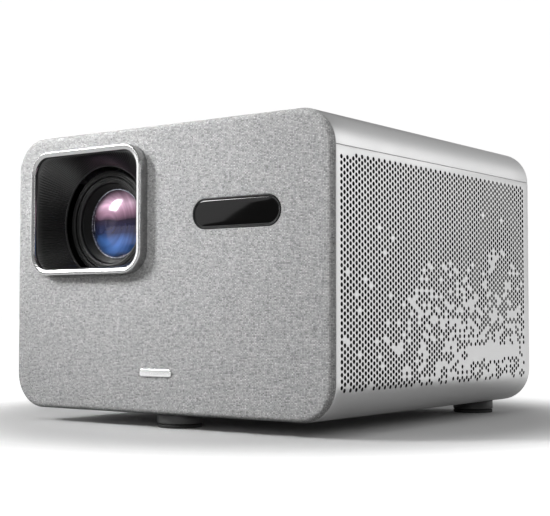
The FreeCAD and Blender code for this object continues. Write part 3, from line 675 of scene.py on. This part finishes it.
def perforation():
    """Hexagonal pattern of holes that thins out towards the lower rear."""
    out = []
    for c in range(NC):
        y = 9.3 + c * CP
        z0 = 157.5 if c % 2 else 155.7
        for k in range(38 if c % 2 else 37):
            z = z0 - k * HP
            if c % 2 and c < 5 and k == 0:
                continue
            a, b = sm((128.0 - z) / 66.0), sm((y - 46.0) / 84.0)
            p = 0.006 + 0.32 * a * (0.10 + 0.90 * b)
            if z < 49.0 and y > 110.0:
                p = max(p, 0.38)
            if 39.2 < z < 48.9 and 158.0 < y < 234.0:
                p = 1.0
            if 48.9 <= z < 54 and 170 < y < 228:
                p = max(p, 0.42)
            v = 0.7 * hsh(c, k, 1) + 0.3 * hsh((c + k % 2) // 2, k // 2, 7)
            t = math.sqrt(0.42 * p) if p < 0.2143 else 0.7 * p + 0.15
            if p >= 1.0 or v < t:
                continue
            out.append((y, z))
    return out


def side_panel():
    """One side: flat perforated sheet that turns under at the bottom.
    (u, v): u along Y, v down the sheet from the seam."""
    holes = perforation()
    seam_z = SEAM - 0.15
    flat_l = seam_z - (GAP + R)
    arc_l = R * math.pi / 2
    u0, u1 = COVER_Y + 0.35, D - 1.6
    vmax = flat_l + arc_l
    N = 12
    RO, RI, CH = 1.35, 1.29, 0.06

    def place(u, v, inset):
        if v <= flat_l:
            return (W / 2 - inset, u, seam_z - v)
        t = (v - flat_l) / R
        return (W / 2 - R + (R - inset) * math.cos(t), u, GAP + R - (R - inset) * math.sin(t))

    vsteps = [0.0, 0.18] + [flat_l * i / 8 for i in range(1, 8)] + [flat_l + arc_l * i / 20 for i in range(0, 21)]
    vsteps[-1] = vmax
    pts, rings = [], []
    centres = {}
    for (y, z) in holes:
        v = seam_z - z
        k = len(pts)
        for i in range(N):
            a = 2 * math.pi * (i + 0.5) / N
            pts.append((y + RO * math.cos(a), v + RO * math.sin(a)))
        rings.append(list(range(k, k + N)))
        centres[(round(y * 10), round(z * 10))] = 1
    hole_pts = len(pts)
    left = len(pts)
    pts += [(u0, v) for v in vsteps]
    right = len(pts)
    pts += [(u1, v) for v in vsteps]
    nv = len(vsteps)
    border = list(range(left, left + nv)) + list(range(right + nv - 1, right - 1, -1))
    extra = []
    # points that carry the curve where there are no holes
    hz = [(y, seam_z - z) for y, z in holes if seam_z - z > flat_l - 6]
    ha = np.array(hz) if hz else np.zeros((0, 2))
    for j, vv in enumerate(vsteps):
        if vv < flat_l - 0.1 or vv > vmax - 0.1:
            continue
        n = 84 if vv < flat_l + 8 else 30
        for i in range(1, n):
            uu = u0 + (u1 - u0) * i / n
            if len(ha) and np.min(np.hypot(ha[:, 0] - uu, ha[:, 1] - vv)) < 1.75:
                continue
            extra.append((uu, vv))
    cell = {}
    for y, z in holes:
        v = seam_z - z
        cell.setdefault((int(y // 4), int(v // 4)), []).append((y, v))

    def keep(u, v):
        ci, cj = int(u // 4), int(v // 4)
        for a in (-1, 0, 1):
            for b in (-1, 0, 1):
                for (hy, hv) in cell.get((ci + a, cj + b), ()):
                    if (u - hy) ** 2 + (v - hv) ** 2 < (RO * 0.93) ** 2:
                        return False
        return True
    flat, tris = tri_fill(pts, rings + [border], keep, extra)
    n = len(flat)
    verts = [place(u, v, 0.0) for u, v in flat]
    # the back face uses the same triangles, with the rings at the bore
    back = []
    shrunk = list(flat)
    for h, (y, z) in enumerate(holes):
        v = seam_z - z
        for i in range(N):
            a = 2 * math.pi * (i + 0.5) / N
            shrunk[h * N + i] = (y + RI * math.cos(a), v + RI * math.sin(a))
    back = [place(u, v, T) for u, v in shrunk]
    mid = [place(shrunk[i][0], shrunk[i][1], CH) for i in range(hole_pts)]
    verts += back + mid
    faces = list(tris) + [tuple(n + i for i in reversed(t)) for t in tris]
    mb = 2 * n
    first_wall = len(faces)
    for h in range(len(holes)):
        for i in range(N):
            a, b = h * N + i, h * N + (i + 1) % N
            faces.append((a, b, mb + b, mb + a))
            faces.append((mb + a, mb + b, n + b, n + a))
    last_wall = len(faces)
    # rims: front edge, rear edge rounding, seam edge and lower edge
    lo = [left + i for i in range(nv)]
    hi = [right + i for i in range(nv)]

    def strip(ids, rows):
        prev = ids
        for (u, inset) in rows:
            base = len(verts)
            for i in range(nv):
                verts.append(place(u, vsteps[i], inset))
            cur = list(range(base, base + nv))
            for i in range(nv - 1):
                faces.append((prev[i], prev[i + 1], cur[i + 1], cur[i]))
            prev = cur
        return prev
    front = strip(lo, [(COVER_Y + 0.1, 0.1), (COVER_Y, 0.35), (COVER_Y, T - 0.2)])
    rear = strip(hi, [(D - 1.6 + 1.6 * math.sin(math.radians(a)), 1.6 - 1.6 * math.cos(math.radians(a))) for a in (15, 30, 45, 60, 75, 90)] + [(D, T)])
    for i in range(nv - 1):
        faces.append((front[i], front[i + 1], n + lo[i + 1], n + lo[i]))
        faces.append((rear[i], rear[i + 1], n + hi[i + 1], n + hi[i]))
    for name, sgn in (("perforated_side_right", 1), ("perforated_side_left", -1)):
        vv = [(sgn * x, y, z) for x, y, z in verts]
        me_faces = faces
        ob = build(name, vv, me_faces, M_SATIN, slot="satin_metal", replaces=("side_panel_right" if sgn > 0 else "side_panel_left",), sharp=33)
        # the holes' walls, behind their thin front chamfer, get the near-black painted shade
        ob.data.materials.append(M_HOLE_SHADE)
        for q in range(first_wall, last_wall):
            if (q - first_wall) % 2:
                ob.data.polygons[q].material_index = 1
        bm = bmesh.new()
        bm.from_mesh(ob.data)
        open_edges = [e for e in bm.edges if e.is_boundary]
        if open_edges:
            bmesh.ops.holes_fill(bm, edges=open_edges, sides=0)
            bmesh.ops.recalc_face_normals(bm, faces=bm.faces)
            bm.to_mesh(ob.data)
            ob.data.set_sharp_from_angle(angle=math.radians(33))
        bm.free()


side_panel()


# ------------------------------------------------------------- top cover
def top_cover():
    z_seam = SEAM + 0.15
    a0 = math.asin((z_seam - (GAP + H - R)) / R)
    prof = []
    na = 28
    for i in range(na + 1):
        a = a0 + (math.pi / 2 - a0) * i / na
        prof.append((W / 2 - R + R * math.cos(a), GAP + H - R + R * math.sin(a), math.cos(a), math.sin(a)))
    mid = []
    for i in range(1, 40):
        x = (W / 2 - R) * (1 - 2 * i / 40)
        mid.append((x, GAP + H, 0.0, 1.0))
    full = prof + mid + [(-x, z, -nx, nz) for x, z, nx, nz in reversed(prof)]
    # a small rounding of the two seam edges
    rows_spec = [(COVER_Y, T), (COVER_Y, 0.35), (COVER_Y + 0.1, 0.1), (COVER_Y + 0.35, 0.0)]
    rows_spec += [(COVER_Y + 0.35 + (D - 1.6 - COVER_Y - 0.35) * i / 10, 0.0) for i in range(1, 11)]
    rows_spec += [(D - 1.6 + 1.6 * math.sin(math.radians(a)), 1.6 - 1.6 * math.cos(math.radians(a))) for a in (15, 30, 45, 60, 75, 90)]
    rows_spec += [(D, T)]
    m = Mesh()
    rows = []
    for y, inset in rows_spec:
        row = []
        for k, (x, z, nx, nz) in enumerate(full):
            e = 0.18 if (k in (0, len(full) - 1) and inset < 1.0) else 0.0
            row.append((x - nx * (inset + e), y, z - nz * (inset + e) + 0.0))
            if k in (0, len(full) - 2):
                t = 0.18
                s = 1 if k == 0 else -1
                if k == 0:
                    row.append((x - nx * inset - nz * t * 1.0, y, z - nz * inset + nx * t))
                else:
                    x2, z2, nx2, nz2 = full[-1]
                    row.append((x2 - nx2 * inset + nz2 * t, y, z2 - nz2 * inset - nx2 * t * -1))
        rows.append(row)
    m.loops(rows, closed_rows=True, close_loop=False)
    n = len(rows[0])
    m.f.append(tuple(i * n for i in range(len(rows))))
    m.f.append(tuple(i * n + n - 1 for i in reversed(range(len(rows)))))
    m.make("top_shell", M_SATIN, slot="satin_metal", replaces=("top_cover",), sharp=38)


top_cover()


# ------------------------------------------------------------- lens bezel
def bezel():
    def row(w, h, r, y):
        return rr_row(w, h, r, BX, BZ, y, na=24, nx=2, nz=2)
    w, h, r = 96.1, 79.7, 15.0

    def inset(i, y):
        return row(w - 2 * i, h - 2 * i, r - i, y)
    rows = [inset(0.05, 0.12), inset(0.0, -0.2), inset(0.0, -5.9), inset(0.06, -6.25), inset(0.25, -6.52), inset(0.55, -6.66), inset(0.9, -6.7),
            inset(2.45, -6.62), inset(2.6, -6.5), inset(2.85, -6.42), inset(3.2, -6.36), inset(3.42, -6.2), inset(3.52, -5.9),
            inset(3.54, -4.6), inset(3.54, 7.9), inset(1.95, 7.9), inset(1.95, 0.12)]
    m = Mesh()
    m.loops(rows, closed_rows=True)
    m.make("bezel_ring", M_BEZEL, slot="bezel_metal", replaces=("lens_bezel",), sharp=40)


bezel()


# -------------------------------------------------------------- lens hood
def hood():
    n = 1920
    ribs = 160

    def outer_pt(a):
        dx, dz = math.cos(a), math.sin(a)
        w, h, r = 87.6, 71.4, 10.9
        lo, hi = 0.0, 90.0
        for _ in range(40):
            mm = (lo + hi) / 2
            px, pz = abs(LX + mm * dx - BX), abs(LZ + mm * dz - BZ)
            qx, qz = px - (w / 2 - r), pz - (h / 2 - r)
            d = math.hypot(max(qx, 0), max(qz, 0)) + min(max(qx, qz), 0) - r
            if d < 0:
                lo = mm
            else:
                hi = mm
        return lo

    def hole_pt(a):
        dz = math.sin(a)
        q = 36.5
        if LZ + q * dz < 98.7:
            q = (98.7 - LZ) / dz
        return q
    angs = [2 * math.pi * i / n for i in range(n)]
    ro = [outer_pt(a) for a in angs]
    ri = [hole_pt(a) for a in angs]
    # ribs are evenly spaced along the opening's outline
    s = [0.0]
    for i in range(n):
        x0, z0 = ro[i] * math.cos(angs[i]), ro[i] * math.sin(angs[i])
        j = (i + 1) % n
        x1, z1 = ro[j] * math.cos(angs[j]), ro[j] * math.sin(angs[j])
        s.append(s[-1] + math.hypot(x1 - x0, z1 - z0))
    tot = s[-1]
    rows = []
    y_a, y_b = -4.3, 14.4
    steps = 15
    rows.append([(LX + (ro[i] + 0.35) * math.cos(angs[i]), y_a + 4.0, LZ + (ro[i] + 0.35) * math.sin(angs[i])) for i in range(n)])
    rows.append([(LX + (ro[i] + 0.35) * math.cos(angs[i]), y_a, LZ + (ro[i] + 0.35) * math.sin(angs[i])) for i in range(n)])
    for k in range(steps + 1):
        t = k / steps
        amp = 0.42 * min(1.0, k / 1.5, (steps - k) / 1.2)
        row = []
        for i in range(n):
            q = ro[i] + (ri[i] - ro[i]) * t
            y = y_a + (y_b - y_a) * t
            w = 0.5 - 0.5 * math.cos(2 * math.pi * ribs * s[i] / tot)
            # the rib stands off the funnel's wall, towards its mouth and axis
            row.append((LX + (q - 0.75 * amp * w) * math.cos(angs[i]), y - 0.66 * amp * w, LZ + (q - 0.75 * amp * w) * math.sin(angs[i])))
        rows.append(row)
    for dq, y in ((-0.15, 14.9), (0.0, 15.4), (2.5, 15.4)):
        rows.append([(LX + (ri[i] + dq) * math.cos(angs[i]), y, LZ + (ri[i] + dq) * math.sin(angs[i])) for i in range(n)])
    m = Mesh()
    m.loops(rows)
    # back of the funnel's wall, plain, so that the hood is a closed shell
    base = len(m.v) - n
    last = [base + i for i in range(n)]
    first = [i for i in range(n)]
    backrows = []
    for t in (0.0,):
        pass
    for i in range(n):
        j = (i + 1) % n
        m.f.append((last[i], last[j], first[j], first[i]))
    m.make("hood_funnel", M_HOOD, slot="hood_black", replaces=("lens_hood",), sharp=50)
    # the polished lip around the hole
    m = Mesh()
    lip = []
    for dq, y in ((0.45, 14.5), (0.40, 13.95), (0.15, 13.7), (-0.1, 13.8), (-0.22, 14.1), (-0.22, 15.0), (0.2, 15.0)):
        lip.append([(LX + (ri[i] + dq) * math.cos(angs[i]), y, LZ + (ri[i] + dq) * math.sin(angs[i])) for i in range(0, n, 8)])
    m.loops(lip, closed_rows=True)
    m.make("hood_lip", M_LIP, slot="hood_black", sharp=40)


hood()


# ------------------------------------------------------------ lens pieces
def lens():
    # focusing ring: front face with two fine grooves
    m = Mesh()
    prof = [(30.6, 17.02), (30.6, 16.75), (30.8, 16.6), (31.5, 16.6), (31.65, 16.85), (31.95, 16.85), (32.1, 16.6), (33.1, 16.6), (33.35, 16.75), (33.35, 17.02)]
    revolved(m, prof, LX, LZ, 192)
    m.make("focus_ring_front", M_LENSBLACK, body="focus_ring", slot="lens_black")
    # barrel mouth: two light-trap steps
    m = Mesh()
    prof = [(29.4, 17.62), (29.4, 17.35), (29.2, 17.2), (28.4, 17.2), (28.25, 17.45), (27.85, 17.45), (27.7, 17.2), (26.9, 17.2), (26.5, 17.4), (26.3, 17.62)]
    revolved(m, prof, LX, LZ, 192)
    m.make("barrel_mouth", M_LENSBLACK, slot="lens_black")
    # moving cell: a cone of fine anti-glare steps down to the glass
    m = Mesh()
    prof = [(26.1, 52.0), (26.1, 20.0), (25.95, 19.5), (25.6, 19.4)]
    steps = 9
    for i in range(steps):
        r0 = 25.5 - (25.5 - 22.95) * i / steps
        r1 = 25.5 - (25.5 - 22.95) * (i + 1) / steps
        y0 = 19.5 + (24.7 - 19.5) * i / steps
        y1 = 19.5 + (24.7 - 19.5) * (i + 1) / steps
        prof += [(r0, y0), (r0 - 0.03, y1 - 0.06), (r1 + 0.02, y1)]
    prof += [(22.86, 24.9), (22.62, 25.0), (22.62, 29.4), (18.02, 29.4), (18.02, 52.0)]
    revolved(m, prof, LX, LZ, 192)
    m.make("cell_cone", M_LENSBLACK, body="front_lens_group", slot="lens_black", replaces=("front_lens_cell",), sharp=25)
    m = Mesh()
    prof = [(21.95, 24.72), (21.9, 24.1), (22.0, 23.92), (22.5, 23.9), (22.7, 24.05), (22.8, 24.6), (22.75, 24.85)]
    revolved(m, prof, LX, LZ, 192)
    m.make("retaining_ring", M_RINGSILVER, body="front_lens_group", slot="ring_silver", replaces=("lens_retaining_ring",), sharp=30)
    # second ring, behind the front glass
    m = Mesh()
    prof = [(17.2, 33.5), (17.3, 32.2), (17.6, 31.6), (18.0, 31.5), (18.0, 34.0)]
    revolved(m, prof, LX, LZ, 160)
    m.make("second_ring", M_RINGSILVER, body="front_lens_group", slot="ring_silver", sharp=30)

    def glass(name, r, y_edge, rad, y_back, rad_back, mat, body, replaces, slot="lens_glass"):
        m = Mesh()
        n = 128
        steps = 20
        rows = []
        sag = rad - math.sqrt(rad * rad - r * r)
        for i in range(steps + 1):
            q = r * (1 - i / steps)
            y = y_edge - (sag - (rad - math.sqrt(rad * rad - q * q)))
            q = max(q, 1e-4)
            rows.append([(LX + q * math.cos(2 * math.pi * k / n), y, LZ + q * math.sin(2 * math.pi * k / n)) for k in range(n)])
        back = []
        for i in range(steps + 1):
            q = max(r * (1 - i / steps), 1e-4)
            y = y_back + (rad_back - math.sqrt(rad_back ** 2 - q * q)) - (rad_back - math.sqrt(rad_back ** 2 - r * r))
            back.append([(LX + q * math.cos(2 * math.pi * k / n), y, LZ + q * math.sin(2 * math.pi * k / n)) for k in range(n)])
        m.loops(list(reversed(rows)) + back)
        m.make(name, mat, body=body, slot=slot, replaces=replaces, sharp=40)
    glass("front_element", 22.4, 25.15, 45.0, 29.2, 60.0, dome_painted_reflection_material(), "front_lens_group", ("front_lens_glass",))


lens()


# ---------------------------------------------------------- sensor window
def window():
    def pill(w, h, y, n=22):
        return rr_row(w, h, h / 2, WX, WZ, y, na=n, nx=2, nz=1)

    def ins(i, y):
        return pill(64.5 - 2 * i, 18.2 - 2 * i, y)
    m = Mesh()
    rows = [ins(0.0, 1.4), ins(0.0, 0.15), ins(0.08, -0.02), ins(0.3, -0.1), ins(0.75, -0.1), ins(1.0, -0.02), ins(1.14, 0.15), ins(1.14, 5.9), ins(0.0, 5.9)]
    m.loops(rows, closed_rows=True)
    m.make("window_trim", M_TRIM, slot="trim_black", replaces=("ir_window_trim",), sharp=40)
    m = Mesh()

    def wi(i, y):
        return pill(62.1 - 2 * i, 15.8 - 2 * i, y)
    rows = [wi(0.0, 2.6), wi(0.0, 0.62), wi(0.05, 0.40), wi(0.16, 0.27), wi(0.34, 0.21), wi(0.7, 0.19), wi(3.0, 0.18), wi(5.5, 0.17)]
    m.loops(rows, cap=(True, True))
    m.make("window_pill", M_WINDOW, slot="window_black", replaces=("ir_window",), sharp=50)


window()


# ------------------------------------------------------------ blank badge
def badge():
    m = Mesh()

    def row(i, y):
        return rr_row(25.0 - 2 * i, 4.6 - 2 * i, 1.2 - i * 0.6, -2.5, 33.4, y, na=8)
    m.loops([row(0, 0.1), row(0, -0.55), row(0.1, -0.78), row(0.35, -0.88), row(0.6, -0.9)], cap=(True, True))
    m.make("badge_bar", M_BADGE, slot="badge_metal", replaces=("front_badge",), sharp=50)


badge()


# -------------------------------------------------------------------- feet
def feet():
    for name, (x, y) in FEET.items():
        m = Mesh()

        prof = [(4.62, 5.35), (4.62, 2.6), (12.9, 2.5), (13.45, 2.55), (13.72, 2.72), (13.83, 3.0), (13.83, 5.4), (13.83, 7.75), (13.78, 7.98),
                (13.6, 8.13), (13.3, 8.2), (4.2, 8.2), (4.0, 8.4)]
        for k in range(15):
            prof += [(3.98, 8.8 + 1.25 * k), (3.55, 9.42 + 1.25 * k)]
        prof += [(3.98, 28.0), (3.3, 29.9), (0.01, 29.95)]
        prof = [(0.01, 5.35)] + prof
        revolved_z(m, prof, x, y, 144, cap=(False, False))
        m.make("%s_knob" % name, M_FOOT, body="%s_foot_screw" % name, slot="foot_grey", replaces=("%s_foot_screw" % name,), sharp=40)
        m = Mesh()
        prof = [(0.01, 0.35), (5.0, 0.35), (5.4, 0.0), (13.0, 0.0), (13.4, 0.12), (13.6, 0.4), (13.63, 0.8), (13.63, 1.6), (13.5, 1.9), (13.1, 2.0), (4.5, 2.0), (4.45, 4.7), (4.1, 5.0), (0.01, 5.0)]
        revolved_z(m, prof, x, y, 96, cap=(False, False))
        m.make("%s_pad" % name, M_RUBBER, body="%s_foot_pad" % name, slot="foot_rubber", replaces=("%s_foot_pad" % name,), sharp=40)


feet()


# ------------------------------------------------------------------ staging
def stage():
    """A plain pale table that runs on into the backdrop. Its glow is painted light that rises away from
    the object, so that a painted shadow pool is left around the object."""
    me = bpy.data.meshes.new("floor")
    s = 30.0
    me.from_pydata([(-s, -s, 0), (s, -s, 0), (s, s, 0), (-s, s, 0)], [], [(0, 1, 2, 3)])
    fl = bpy.data.objects.new("floor", me)
    bpy.context.scene.collection.objects.link(fl)
    m = Mat("floor_white_painted_glow", 0.75, 0.0, g(0.60), 0.2)
    n = m.noise(6.0, 3.0, 0.5)
    m.link(m.ramp(n, [(0.3, g(0.59)), (0.7, g(0.61))]), "Base Color")
    # painted light: the floor glows by its distance from the object, none close by and full further out, which paints a
    # shadow pool around the object
    sep = m.node("ShaderNodeSeparateXYZ", {"Vector": m.coord()})
    x, y = sep.outputs["X"], sep.outputs["Y"]
    r = m.math("SQRT", m.math("ADD", m.math("MULTIPLY", x, x), m.math("MULTIPLY", y, y)))
    nd = m.node("ShaderNodeMapRange", {"Value": r, "From Min": PAINTED_SHADOW_POOL_R[0], "From Max": PAINTED_SHADOW_POOL_R[1], "To Min": 0.0, "To Max": PAINTED_FLOOR_GLOW}, interpolation_type="SMOOTHSTEP")
    m.link(nd.outputs["Result"], "Emission Strength")
    m.b.inputs["Emission Color"].default_value = (1, 1, 1, 1)
    m.m.cycles.emission_sampling = "NONE"
    me.materials.append(m.m)
    fl.visible_diffuse = False


# strength of the painted floor glow, and the radii over which it rises; inside them lies the painted shadow pool
PAINTED_FLOOR_GLOW, PAINTED_SHADOW_POOL_R = 0.82, (0.165, 0.30)


def area(name, loc, target, sx, sy, power, color=(1, 1, 1), roll=0.0, spread=None):
    li = bpy.data.lights.new(name, "AREA")
    li.shape = "RECTANGLE"
    li.size, li.size_y = sx, sy
    li.energy = power
    li.color = color
    if spread is not None:
        li.spread = spread
    ob = bpy.data.objects.new(name, li)
    ob.location = loc
    d = Vector(target) - Vector(loc)
    q = d.to_track_quat("-Z", "Y")
    ob.rotation_mode = "QUATERNION"
    from mathutils import Quaternion
    ob.rotation_quaternion = q @ Quaternion((0, 0, 1), math.radians(roll))
    bpy.context.scene.collection.objects.link(ob)
    return ob


stage()


def studio():
    """A dim room with a pale backdrop behind the object, and a large soft
    light low down behind it on the right."""
    world = bpy.data.worlds.new("studio")
    bpy.context.scene.world = world
    world.use_nodes = True
    t = world.node_tree
    bg = t.nodes["Background"]
    co = t.nodes.new("ShaderNodeTexCoord")
    sep = t.nodes.new("ShaderNodeSeparateXYZ")
    t.links.new(co.outputs["Generated"], sep.inputs["Vector"])

    def math_(op, a, b=None):
        nd = t.nodes.new("ShaderNodeMath")
        nd.operation = op
        for i, v in enumerate((a, b)):
            if isinstance(v, bpy.types.NodeSocket):
                t.links.new(v, nd.inputs[i])
            elif v is not None:
                nd.inputs[i].default_value = v
        return nd.outputs[0]

    def toward(c):
        nd = t.nodes.new("ShaderNodeVectorMath")
        nd.operation = "DOT_PRODUCT"
        t.links.new(co.outputs["Generated"], nd.inputs[0])
        nd.inputs[1].default_value = Vector(c).normalized()
        return nd.outputs["Value"]

    def step(value, lo, hi):
        nd = t.nodes.new("ShaderNodeMapRange")
        nd.interpolation_type = "SMOOTHSTEP"
        t.links.new(value, nd.inputs["Value"])
        nd.inputs["From Min"].default_value = lo
        nd.inputs["From Max"].default_value = hi
        return nd.outputs["Result"]

    def ball(az, el, width, power):
        a, e = math.radians(az), math.radians(el)
        d = toward((math.cos(a) * math.cos(e), math.sin(a) * math.cos(e), math.sin(e)))
        k = 1.0 / math.radians(width) ** 2
        return math_("MULTIPLY", math_("EXPONENT", math_("MULTIPLY", math_("SUBTRACT", d, 1.0), k)), power)
    back = math_("MULTIPLY", step(toward((-0.59, 0.805, 0.05)), 0.90, 0.950), math_("SUBTRACT", 1.0, step(sep.outputs["Z"], 0.26, 0.34)))
    back = math_("MULTIPLY", back, math_("ADD", 0.87, math_("MULTIPLY", step(sep.outputs["Z"], 0.0, 0.12), 0.13)))
    total = math_("MULTIPLY", back, BACKDROP)
    for az, el, width, power in SOFT:
        total = math_("ADD", total, ball(az, el, width, power))
    total = math_("ADD", total, math_("MULTIPLY", step(sep.outputs["Z"], 0.2, 0.95), ROOM_TOP))
    total = math_("ADD", total, ROOM)
    # seen directly, the backdrop is the same pale paper all the way round
    direct = t.nodes.new("ShaderNodeLightPath").outputs["Is Camera Ray"]
    total = math_("ADD", math_("MULTIPLY", direct, 1.01), math_("MULTIPLY", math_("SUBTRACT", 1.0, direct), total))
    bg.inputs["Color"].default_value = (1, 1, 1, 1)
    t.links.new(total, bg.inputs["Strength"])


ROOM, ROOM_TOP, BACKDROP = 0.035, 0.15, 0.965
SOFT = ((49, 17, 13, 2.60), (90, 31, 17, 0.48), (-96, 33, 17, 0.50))
studio()
key = area("key", (-0.53, -0.53, 0.53), (-0.100, -0.12, 0.205), 0.30, 0.30, 0.56, spread=math.radians(33))
top_front = area("top_front", (0.06, -0.46, 0.50), (0.02, -0.12, 0.15), 0.50, 0.20, 0.95)
area("rake", (-0.95, -0.42, 0.30), (-0.05, -0.12, 0.11), 0.40, 0.40, 2.0)
area("card", (-0.967, -1.12, 0.307), (-0.967, 0.0, 0.307), 0.60, 0.42, 0.45, roll=38.6)
area("hood_fill", (0.75, -1.15, 0.30), (-0.08, -0.12, 0.125), 0.25, 0.25, 3.4)



def flag(light, *names):
    """Keeps a light off the named pieces, as a studio flag does."""
    c = bpy.data.collections.new(light.name + "_flag")
    for nm in names:
        c.objects.link(bpy.data.objects[nm])
    light.light_linking.receiver_collection = c
    for co in c.collection_objects:
        co.light_linking.link_state = "EXCLUDE"


flag(key, "top_shell")
flag(top_front, "top_shell", "bezel_ring")

cam = bpy.data.cameras.new("camera")
cam.lens = 80.233
cam.sensor_width = 36.0
cam.sensor_fit = "HORIZONTAL"
cam.clip_start = 0.01
cam_ob = bpy.data.objects.new("camera", cam)
cam_ob.location = (0.492136, -0.677861, 0.067162)
cam_ob.rotation_mode = "QUATERNION"
cam_ob.rotation_quaternion = Vector((-0.58947, 0.80636, 0.04801)).to_track_quat("-Z", "Y")
bpy.context.scene.collection.objects.link(cam_ob)
bpy.context.scene.camera = cam_ob
bpy.context.scene.view_settings.view_transform = "Standard"
